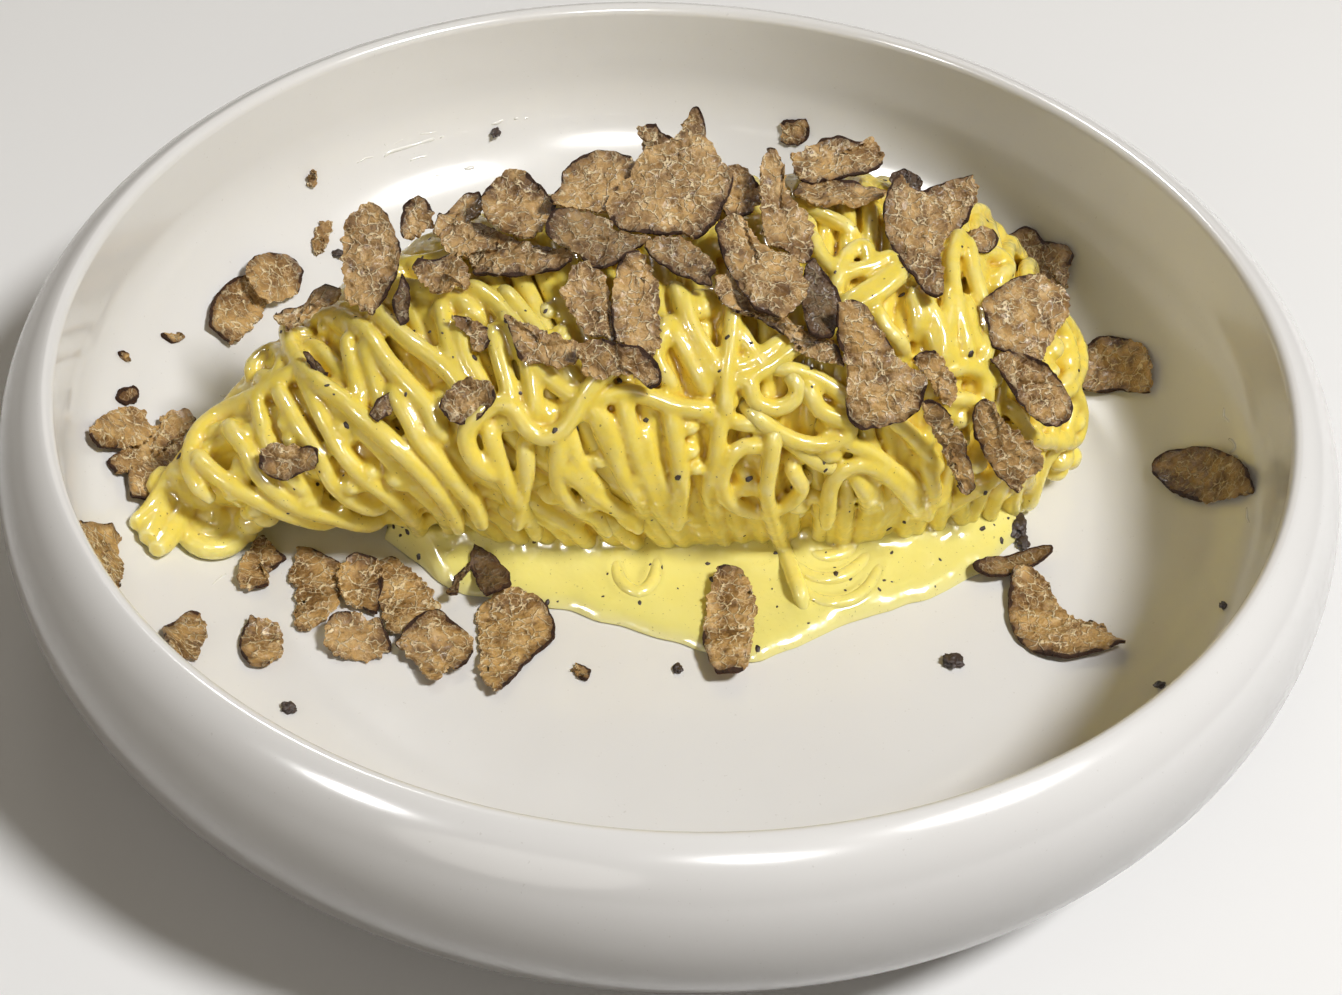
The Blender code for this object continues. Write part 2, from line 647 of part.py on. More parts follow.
def tree_of(item):
    bm = evaluated_bmesh(item)
    tree = BVHTree.FromBMesh(bm)
    bm.free()
    return tree


def main():
    clear_scene()
    dish = new_collection("spaghetti_carbonara")
    guides = new_collection("guides", guide=True)
    strands = new_collection("strands_to_fuse", guide=True)
    glaze = new_material("white_glaze", (0.86, 0.85, 0.83), 0.2)
    pasta = new_material("creamy_noodle", (0.89, 0.78, 0.33), 0.35)
    cream = new_material("egg_sauce", (0.93, 0.87, 0.45), 0.25)
    flesh = new_material("truffle_flesh", (0.42, 0.31, 0.2), 0.7)
    bowl = make_bowl(dish, glaze)
    sauce = make_sauce(dish, cream)
    noodles = make_noodles(dish, strands, pasta)
    outline = add_object("heap_outline", heap_solid(0.0, OUTLINE_STEPS, OUTLINE_STEPS), guides)
    under_bowl_slices = [tree_of(bowl), tree_of(sauce)]
    heap = [tree_of(noodles), tree_of(outline)]
    for number, item in enumerate(BOWL_SLICES, 1):
        make_slice(number, item, bowl_surface(*item.place), under_bowl_slices, heap, dish, flesh)
    under_heap_slices = heap + under_bowl_slices
    for number, item in enumerate(HEAP_SLICES, len(BOWL_SLICES) + 1):
        make_slice(number, item, heap_surface(*item.place), under_heap_slices, [], dish, flesh)


main()
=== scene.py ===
"""Spaghetti carbonara in a thick-rimmed bowl, with shaved truffle: the finished look.

Named sizes are in millimetres and are multiplied by MM where Blender takes metres.
X runs along the heap to the right, Y to the back and Z up. The floor is z = 0.
"""
import math
import random
from collections import namedtuple

import bmesh
import bpy
import numpy as np
from mathutils import Matrix, Vector, noise
from mathutils.bvhtree import BVHTree


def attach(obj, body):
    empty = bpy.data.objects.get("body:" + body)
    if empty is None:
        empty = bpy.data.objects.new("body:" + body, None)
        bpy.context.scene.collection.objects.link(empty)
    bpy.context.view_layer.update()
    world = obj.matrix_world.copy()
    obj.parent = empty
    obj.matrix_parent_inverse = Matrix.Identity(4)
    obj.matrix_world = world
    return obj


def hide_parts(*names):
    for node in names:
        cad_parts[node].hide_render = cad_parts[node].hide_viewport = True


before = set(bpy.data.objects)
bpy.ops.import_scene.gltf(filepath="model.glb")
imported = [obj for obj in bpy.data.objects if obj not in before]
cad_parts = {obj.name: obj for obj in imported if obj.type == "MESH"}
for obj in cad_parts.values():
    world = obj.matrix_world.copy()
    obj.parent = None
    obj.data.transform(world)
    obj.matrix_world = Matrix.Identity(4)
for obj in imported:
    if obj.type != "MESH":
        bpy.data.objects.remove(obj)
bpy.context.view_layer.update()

MM = 0.001

# The picture and the camera that took it
PICTURE_WIDTH = 1342
PICTURE_HEIGHT = 995
FOCAL_PIXELS = 2245.9
VIEW_DISTANCE = 0.45
VIEW_ELEVATION = math.radians(44.05)
VIEW_ROLL = 0.062
VIEW_TARGET = Vector((0.000654, -0.009398, 0.020))
SENSOR_WIDTH = 36.0

# Bowl: the same sizes as its solid
BOWL_RADIUS = 130.0
BOWL_HEIGHT = 54.0
BELLY_HEIGHT = 35.1
LIP_RADIUS = 117.6
LIP_ROUND = 2.0
FLOOR = 9.5
FLOOR_RADIUS = 82.0
WALL_RADIUS = 118.5
WALL_RISE = 28.5
STEEPEST_WALL = 0.995
FOOT_OUTER = 86.4
FOOT_INNER = 78.0
FOOT_RECESS = 2.0
BOWL_STEPS = 180

# Heap: the outline of its solid
HEAP_LEFT = -104.0
HEAP_RIGHT = 91.0
HEAP_SPAN = 196.0
HEAP_HALF_WIDTH = 40.0
HEAP_HEIGHT_RATIO = 0.83
HEAP_TOP = 80.0
HEAP_LIFT_RATIO = 0.85
LEFT_TAPER = 0.6
LEFT_BULGE = 2.6
LEFT_BLUNT = 0.8
ROUND_START = 35
ROUND_BLUNT = 0.62
MIDDLE_START = -26
MIDDLE_SWING = 29
MIDDLE_REACH = 22
MIDDLE_SLOPE = 0.12
TIP_LIFT = 0.9
CORE_DEPTH = 5.8
CORE_CLEARANCE = 0.3

# Strands: two wound layers that start in the sauce and end on the floor behind, and loose ones on
# the back. FOOT_SPREAD and FOOT_DROP lead their feet out and down into the sauce.
NOODLE_RADIUS = 1.8
CLEARANCE = 0.2
LAYERS = (3.2, 0.5)
LAYER_PITCH = 4.5
LAYER_START = -50.0
LAYER_END = 228.0
STRAND_STEP = 3.4
TRACED_STEP = 1.5
END_STEPS = 3
END_SINK = 3.0
LEFT_MARGIN = 8
RIGHT_MARGIN = 6
LOOSE_STRANDS = 34
LEFT_THICKER = 0.13
STRETCHES = {"noodles_left": (-104, -32), "noodles_middle": (-32, 24), "noodles_right": (24, 130)}
STRETCH_OVERLAP = 9
BLOBS = 60
WEB_VOXEL = 0.5
FRONT_DEPTH = 2.3
FOOT_SPREAD = 5.5
FOOT_DROP = 6.5
SEARCH_PIXELS = 60
POOL_LIFT = 1.5
HOLLOW_ROUNDS = 14
LOW_REACH = 22

# Sauce: CLIMB is how far it rises under the heap, WETTING how far on each strand
SAUCE_TOP = 12.0
SAUCE_LEFT = -50.0
SAUCE_EDGE = 0.25
SAUCE_SHEET = 0.4
EDGE_REACH = 4.5
THIN_REACH = 2.6
FOOT_RATIO = 0.76
CLIMB = 4.0
CLIMB_REACH = 4.5
WETTING = 0.7
WETTING_REACH = 1.2
POOL_FRONT = (
    (-55, -17), (-42, -29), (-32, -31), (-20, -32), (-8, -36), (6, -40),
    (18, -44), (26, -39), (37, -31.5), (53.5, -23), (66, -14), (71, -5),
)

# Truffle: thin slices, as the eye in front of the bowl sees them. SETTLED is how far each lies over
# its solid's top, for those that the sauce would cover.
SLICE_THICKNESS = 0.62
SLICE_CLEARANCE = 0.15
SETTLED = {15: 0.9, 16: 0.9, 17: 0.3, 76: 0.6}
SUNK = -0.4
FLAKE_LIFT = 0.95
EDGE_STEPS = 144
PLAIN_CORNERS = 28
DROP_HEIGHT = 14.0
SLICE_VIEW = math.radians(44)
TO_EYE = Vector((0, -math.cos(SLICE_VIEW), math.sin(SLICE_VIEW)))
VIEW_UP = Vector((0, math.sin(SLICE_VIEW), math.cos(SLICE_VIEW)))
VIEW_RIGHT = Vector((1, 0, 0))

# place: x and angle round the heap, or x and y on the bowl. length lies along turn, in degrees
# from the right. facing 0 lies flat and 1 faces the eye, rise lifts it up the picture, curl is not
# used, and each cut (angle, keep) is a torn side.
Slice = namedtuple("Slice", "place length width turn facing rise curl cuts",
                   defaults=(0, 0.0, 0.0, 0.6, ()))

BOWL_SLICES = (
    Slice((-96, 46), 20, 13, 48, 0, 0, 0.8),
    Slice((-91, 56), 16, 12, 35, 0, 0, 1.2, ((150, 0.8),)),
    Slice((-105, -1), 22, 15, 62, 0, 0, 1.5, ((170, 0.7), (-80, 0.8))),
    Slice((-111.5, 0), 18, 13, 10, 0, 0, 1.2, ((60, 0.7), (-60, 0.7))),
    Slice((-108, -38), 15, 10, -62, 0, 0, 0.6, ((-90, 0.6),)),
    Slice((-90, -50), 13, 9, 60, 0, 0, 1, ((-60, 0.6),)),
    Slice((-76, -46), 13, 9.5, 80, 0, 0, 0.6),
    Slice((-78, -26), 13, 10, 60, 0, 0, 1.2, ((180, 0.7), (-60, 0.7))),
    Slice((-66.5, -32), 23, 15, 80, 0, 0, 0.5, ((-90, 0.6),)),
    Slice((-49, -32), 22, 14, -60, 0, 0, 0.5, ((-100, 0.6), (180, 0.8))),
    Slice((-60, -31), 18, 12, 60, 0.1, 0, 1.8, ((0, 0.7), (180, 0.8))),
    Slice((-58, -41), 15.5, 14, 10, 0, 0, 0.8, ((70, 0.8),)),
    Slice((-43, -44.5), 19, 14, -42, 0, 0, 1, ((-100, 0.6), (0, 0.85))),
    Slice((-28, -40), 28, 16, 80, 0, 0, 1.4, ((90, 0.55),)),
    Slice((-35, -23), 13, 9, -50, 0.3, 0, 2, ((60, 0.6), (170, 0.7))),
    Slice((13.5, -34.5), 26, 12, 86, 0.25, 0, 1.5),
    Slice((70, -13), 19, 5, 20, 0.1, 0, 2),
    Slice((80, -25), 29, 17, -40, 0.1, 0, 1.8, ((90, 0.25),)),
    Slice((110, 7), 22, 14, -5, 0, 0, 1),
    Slice((96, 44), 17, 15, 0, 0, 0, 1, ((180, 0.8), (0, 0.85))),
    Slice((77, 77), 18, 14, -30, 0, 0, 1.2, ((170, 0.7),)),
)

HEAP_SLICES = (
    Slice((-70, 92), 12, 8, 25, 0.2, 0, 0.5, ((205, 0.55),)),
    Slice((-52, 100), 14, 8, 90, 0.9, 5, 1, ((180, 0.8), (0, 0.85))),
    Slice((-61, 88), 25, 12.5, 84, 0.75, 8, 1.5),
    Slice((-45, 102), 12, 7, 20, 0.3, 1, 1, ((90, 0.5),)),
    Slice((-36, 90), 30, 15, -4, 0.3, 0, 0.8, ((95, 0.6), (20, 0.85))),
    Slice((-32, 104), 16, 14, 60, 0.5, 1.5, 1.5),
    Slice((-17, 110), 22, 17, 20, 0.5, 0, 1.2, ((-60, 0.7),)),
    Slice((-7, 115), 15, 11, 80, 0.9, 7, 0.8, ((0, 0.6), (110, 0.65))),
    Slice((-16, 88), 25, 14, -8, 0.35, 0, 1.2, ((80, 0.7),)),
    Slice((-1, 98), 27, 21, 72, 0.75, 6, 2, ((75, 0.6), (160, 0.75))),
    Slice((0, 76), 16, 9.5, -25, 0.3, 0, 1.2),
    Slice((-18, 63), 20, 11, -60, 0.05, 0, 0.8, ((90, 0.75),)),
    Slice((-8, 60), 24, 11, 88, 0.1, 0, 1, ((-95, 0.8), (180, 0.8))),
    Slice((-25, 50), 15, 9, -15, 0.2, 0, 1.5, ((180, 0.8),)),
    Slice((-10, 43), 17, 8.5, -8, 0.1, 0, 2, ((150, 0.7),)),
    Slice((21, 53), 25, 9, -36, 0.1, 0, 0.5, ((90, 0.6),)),
    Slice((14, 70), 25, 14, -56, 0.2, 0, 1, ((0, 0.8), (100, 0.8))),
    Slice((10, 98), 11, 7, 80, 0.7, 2, 1),
    Slice((34, 98), 20, 7, 8, 0.2, 0, 0.6, ((90, 0.6),)),
    Slice((29, 108), 25, 12, 8, 0.5, 3.5, 1.2, ((-90, 0.7), (10, 0.85))),
    Slice((19, 86), 28, 9.5, -72, 0.6, 3, 1.5, ((80, 0.8),)),
    Slice((27, 58), 15, 8, -78, 0.3, 0, 1.8),
    Slice((43, 112), 9, 8, 60, 0.8, 2, 0.5, ((30, 0.6),)),
    Slice((52, 98), 14, 12, 30, 0.8, 2.5, 0.6, ((200, 0.5), (-60, 0.7))),
    Slice((45, 84), 27, 13, -68, 0.4, -1.5, 2, ((88, 0.4),)),
    Slice((68, 66), 18, 16, 20, 0.2, 0, 1, ((-40, 0.75), (10, 0.8))),
    Slice((69, 40), 21, 11, -42, 0.1, 0, 0.8),
    Slice((49, 34), 12, 8, -60, 0.05, 0, 0.8, ((90, 0.7),)),
    Slice((38, 38), 27, 15, -62, 0.15, 0, 1, ((180, 0.85),)),
    Slice((52, 16), 20, 8, -66, 0.05, 0, 1, ((90, 0.7),)),
    Slice((65, 14), 22, 15, -62, 0.05, 0, 1.2, ((85, 0.5),)),
    Slice((-73, 27), 12, 8, 0, 0, 0, 0.8, ((90, 0.8),)),
    Slice((-39, 35), 12, 10, 25, 0.05, 0, 0.8, ((-30, 0.85),)),
    Slice((-48, 87), 12, 8, -20, 0.3, 0, 2, ((60, 0.6), (200, 0.7))),
    Slice((-53, 82), 12, 4, 72, 0.5, 0, 1),
)

# Strands that show, followed in the picture: height over the heap's outline in millimetres,
# and the pixels that the strand passes through
PICTURE_STRANDS = (
    (1.2, ((286, 328), (294, 354), (318, 382), (343, 400), (362, 418), (391, 443), (420, 472),
           (439, 494), (452, 513))),
    (0.4, ((324, 306), (362, 328), (385, 360), (407, 386), (426, 408), (436, 430))),
    (0.7, ((394, 395), (407, 418), (420, 443), (439, 465), (458, 488), (474, 510))),
    (0.6, ((375, 309), (407, 338), (432, 357), (452, 376), (463, 395))),
    (0.0, ((439, 303), (445, 331), (450, 354), (461, 379), (477, 402))),
    (0.2, ((458, 325), (464, 354), (477, 379), (490, 402))),
    (0.3, ((493, 335), (503, 373), (511, 402))),
    (1.4, ((487, 472), (471, 456), (466, 433), (480, 414), (499, 403), (515, 411), (525, 427),
          (544, 438), (563, 429), (579, 405), (595, 382), (614, 367))),
    (0.4, ((490, 437), (499, 469), (512, 500), (531, 526))),
    (0.0, ((525, 456), (525, 481), (519, 513))),
    (0.4, ((560, 443), (557, 469), (560, 494), (576, 513), (598, 524))),
    (0.0, ((570, 469), (582, 488), (598, 507), (620, 518))),
    (-0.2, ((273, 386), (286, 411), (299, 433), (318, 462), (330, 488), (350, 507), (372, 516))),
    (0.1, ((299, 370), (311, 398), (324, 427), (340, 456), (362, 481), (385, 500), (407, 520),
          (426, 534))),
    (-0.4, ((324, 395), (350, 424), (375, 449), (397, 475), (417, 497), (439, 520), (455, 534))),
    (-0.3, ((251, 395), (257, 424), (263, 443), (279, 469), (299, 494))),
    (0.8, ((228, 427), (244, 449), (257, 475), (276, 494), (299, 510), (330, 520), (369, 528))),
    (0.9, ((198, 459), (222, 481), (254, 500), (286, 516), (324, 526))),
    (0.4, ((292, 367), (254, 389), (216, 408), (192, 430), (185, 462), (197, 488))),
    (-0.2, ((343, 338), (350, 367), (356, 392))),
    (-0.2, ((362, 344), (369, 370), (378, 398))),
    (0.3, ((503, 309), (512, 331), (525, 357), (531, 382), (535, 411))),
    (0.1, ((531, 363), (550, 379), (576, 398))),
    (0.3, ((592, 408), (608, 430), (617, 456))),
    (0.5, ((684, 296), (694, 328), (710, 354), (718, 370))),
    (1.0, ((734, 309), (732, 331), (728, 363), (726, 386), (726, 410))),
    (0.2, ((672, 325), (688, 354), (703, 382))),
    (0.6, ((737, 382), (758, 373), (780, 359), (799, 343))),
    (0.2, ((735, 368), (758, 357), (780, 341))),
    (0.3, ((780, 367), (806, 373), (831, 386), (850, 402))),
    (0.8, ((750, 379), (755, 400), (770, 409), (788, 406), (799, 392), (794, 379))),
    (1.0, ((758, 418), (777, 433), (802, 444), (828, 446), (847, 438), (851, 426), (837, 418),
          (821, 411), (810, 392))),
    (0.1, ((739, 424), (764, 430), (790, 446), (812, 462), (831, 472))),
    (0.8, ((764, 449), (745, 449), (729, 462), (722, 485), (729, 504), (748, 515), (767, 515),
          (790, 507), (802, 492), (796, 478))),
    (2.2, ((773, 443), (769, 472), (767, 494), (774, 523), (783, 555), (793, 583), (799, 598))),
    (1.0, ((829, 510), (831, 491), (841, 475), (860, 467), (879, 472), (898, 488), (914, 507),
          (924, 526))),
    (0.3, ((837, 440), (872, 456), (892, 472), (911, 488), (927, 507))),
    (0.6, ((857, 481), (868, 504), (866, 526), (847, 542), (825, 550), (802, 556))),
    (0.4, ((592, 402), (621, 393), (649, 397), (678, 408), (707, 411))),
    (0.2, ((592, 413), (601, 430), (614, 456), (624, 481), (640, 507), (659, 531))),
    (0.1, ((624, 402), (630, 433), (640, 465), (652, 497), (665, 523), (688, 532))),
    (-0.4, ((646, 443), (652, 469), (665, 500), (672, 523))),
    (0.2, ((672, 418), (678, 456), (682, 488), (680, 513))),
    (0.3, ((560, 469), (573, 481), (592, 497), (614, 513), (629, 521))),
    (-0.2, ((570, 443), (579, 469), (598, 494))),
    (0.3, ((721, 414), (719, 443), (716, 469), (710, 497), (719, 526))),
    (0.3, ((931, 296), (936, 331), (941, 360), (936, 386))),
    (0.6, ((954, 293), (950, 328), (954, 359))),
    (0.5, ((970, 303), (975, 331), (986, 354))),
    (0.7, ((951, 371), (971, 367), (987, 375), (990, 398))),
    (0.3, ((955, 400), (971, 400), (987, 411))),
    (0.2, ((898, 424), (917, 440), (939, 469))),
    (0.3, ((927, 528), (955, 510), (981, 494), (1003, 478))),
    (0.7, ((939, 534), (968, 521), (994, 513), (1014, 499), (1019, 478), (1022, 453))),
    (0.3, ((739, 328), (751, 347), (764, 367))),
    (-0.1, ((751, 488), (764, 500), (783, 526), (809, 532))),
    (-0.3, ((872, 481), (879, 507), (892, 532))),
    (0.3, ((398, 261), (432, 255), (461, 249))),
    (0.0, ((387, 279), (417, 283), (454, 294), (469, 305))),
    (0.2, ((472, 283), (494, 298), (513, 320), (531, 342))),
    (0.2, ((506, 290), (524, 312), (546, 342), (572, 379))),
    (0.5, ((250, 360), (269, 346), (280, 357), (272, 375), (258, 375))),
    (0.2, ((679, 290), (687, 316), (698, 342), (709, 372))),
    (0.4, ((665, 327), (657, 357), (668, 379))),
    (0.4, ((795, 197), (822, 209), (847, 221))),
    (0.5, ((813, 233), (822, 252), (838, 270))),
    (0.7, ((838, 279), (847, 252), (865, 242), (871, 264))),
    (0.8, ((847, 270), (871, 264), (890, 255), (902, 264))),
    (0.9, ((850, 298), (871, 285), (899, 267))),
    (1.0, ((859, 304), (881, 291), (902, 273))),
    (0.3, ((878, 310), (890, 328), (902, 340))),
    (0.8, ((923, 316), (914, 291), (920, 316))),
    (0.9, ((930, 304), (942, 328), (945, 356))),
    (1.1, ((960, 233), (954, 258), (957, 291), (963, 322), (969, 350))),
    (1.2, ((969, 242), (976, 273), (985, 304), (991, 334), (985, 359))),
    (0.9, ((985, 249), (1000, 252), (1012, 264), (1006, 273))),
    (1.2, ((966, 209), (985, 210))),
    (0.8, ((1052, 310), (1067, 328), (1077, 359), (1070, 383))),
    (1.0, ((1064, 316), (1080, 340), (1084, 365), (1073, 389))),
    (0.8, ((1077, 389), (1086, 414), (1080, 441), (1061, 444))),
    (0.5, ((1021, 414), (1031, 432), (1049, 444), (1073, 438))),
    (0.4, ((954, 368), (976, 365), (988, 374), (991, 396))),
    (0.2, ((622, 543), (615, 560), (620, 582), (638, 594), (653, 583), (656, 562), (646, 543))),
    (0.7, ((788, 548), (806, 557), (830, 560), (852, 552), (868, 537), (877, 520))),
    (0.4, ((792, 566), (812, 579), (836, 580), (856, 570), (872, 552))),
    (0.0, ((800, 590), (822, 602), (848, 601), (868, 588), (880, 566))),
    (0.1, ((690, 520), (706, 540), (724, 556), (744, 566), (764, 566))),
    (0.3, ((930, 470), (936, 500), (920, 524), (890, 536), (862, 540))),
    (0.2, ((1024, 440), (1034, 470), (1022, 500), (1000, 517), (972, 522))),
)

# Strands at the heap's left tip: radius, and pixels with their height over the bowl's surface
TIP_STRANDS = (
    (2.4, ((186, 478, 9), (176, 490, 7), (167, 504, 5), (157, 520, 3.5), (147, 541, 2.6))),
    (2.4, ((196, 488, 8), (187, 502, 6), (179, 516, 4.5), (170, 531, 3.5), (156, 552, 2.6))),
    (1.9, ((222, 497, 8), (233, 508, 6), (241, 524, 4), (238, 540, 2.5), (222, 549, 2.1),
           (204, 549, 2.1), (190, 540, 2.1), (183, 525, 3), (183, 512, 4))),
    (1.7, ((232, 506, 6), (226, 520, 4.5), (212, 531, 3.5), (196, 529, 3.5), (186, 518, 4))),
    (2.1, ((172, 473, 9), (184, 487, 9), (198, 497, 8.5), (214, 501, 7.5), (226, 498, 7))),
    (1.9, ((162, 500, 4), (156, 486, 5), (163, 475, 6.5), (176, 476, 8))),
    (2.1, ((244, 500, 6), (250, 520, 4), (247, 540, 2.4))),
    (3.2, ((196, 512, 4.5), (212, 516, 4.5), (228, 520, 4.5))),
)

# Small things that lie in the bowl: x, y and size
CRUMBS = (
    (72, -2, 5.5), (57, -40, 3.4), (4, -46, 2.0), (-68, -63, 2.6), (108, -33, 1.6),
    (95, -49.5, 1.8), (-46, 105, 2.6), (-78, 68, 2.6), (73, -6, 3.0), (-85, 79, 1.2),
)

# Wet streaks and drops on the glaze: radius, and the pixels along each
WET_STREAKS = (
    (0.36, ((384, 157), (388, 153), (400, 149), (417, 144), (434, 139))),
    (0.20, ((384, 144), (388, 146), (396, 143), (403, 139))),
    (0.18, ((420, 134), (430, 133), (439, 130))),
    (0.22, ((410, 161), (416, 158), (426, 156))),
    (0.18, ((357, 163), (366, 158), (375, 157))),
    (0.50, ((464, 169), (470, 168), (474, 167))),
    (0.35, ((435, 176), (440, 175))),
    (0.35, ((491, 124), (497, 123), (503, 120))),
    (0.35, ((514, 119), (518, 118))),
    (0.32, ((525, 118), (528, 118))),
    (0.22, ((440, 138), (444, 136))),
    (0.30, ((1224, 408), (1224, 417), (1229, 422))),
    (0.32, ((1229, 439), (1233, 442), (1235, 448), (1230, 453))),
    (0.30, ((1234, 456), (1238, 457))),
    (0.30, ((1247, 508), (1247, 518), (1250, 524))),
    (0.20, ((220, 396), (229, 395), (238, 397))),
    (0.22, ((212, 586), (218, 580), (226, 574))),
)

# Flakes, which have no solid. Their numbers run on from FIRST_FLAKE.
FIRST_FLAKE = 70
BOWL_FLAKES = (
    Slice((-105, -9), 12, 8, 50, 0, 0, 0.8, ((180, 0.7),)),
    Slice((-112, 8), 7, 4, 40, 0, 0, 0.4),
    Slice((24, 112), 8, 7, 20, 0, 0, 0.8, ((160, 0.7),)),
    Slice((-82, 70), 10, 3.4, 76, 0, 0, 0.5),
    Slice((-85, 79), 4, 1.6, 60, 0, 0, 0.2),
    Slice((-15, -47), 4, 3, 20, 0, 0, 0.2),
    Slice((-42, -26), 8, 2, 50, 0, 2.5, 0.2),
    Slice((-107, 29), 5.2, 2.5, 8, 0, 0, 0.2, ((90, 0.6),)),
    Slice((-114, 16), 3, 2, -20, 0, 0, 0.2, ((0, 0.6),)),
)

HEAP_FLAKES = (
    Slice((58, 89), 8, 6, 10, 0.4, 1, 0.8, ((90, 0.6),)),
    Slice((-54, 38), 8, 5, 40, 0.05, 0, 0.4, ((0, 0.7),)),
    Slice((-38, 56), 6, 5, -30, 0.1, 0, 0.4, ((90, 0.7),)),
    Slice((-69, 69), 7, 2.5, -48, 0.05, 0, 0.3),
)

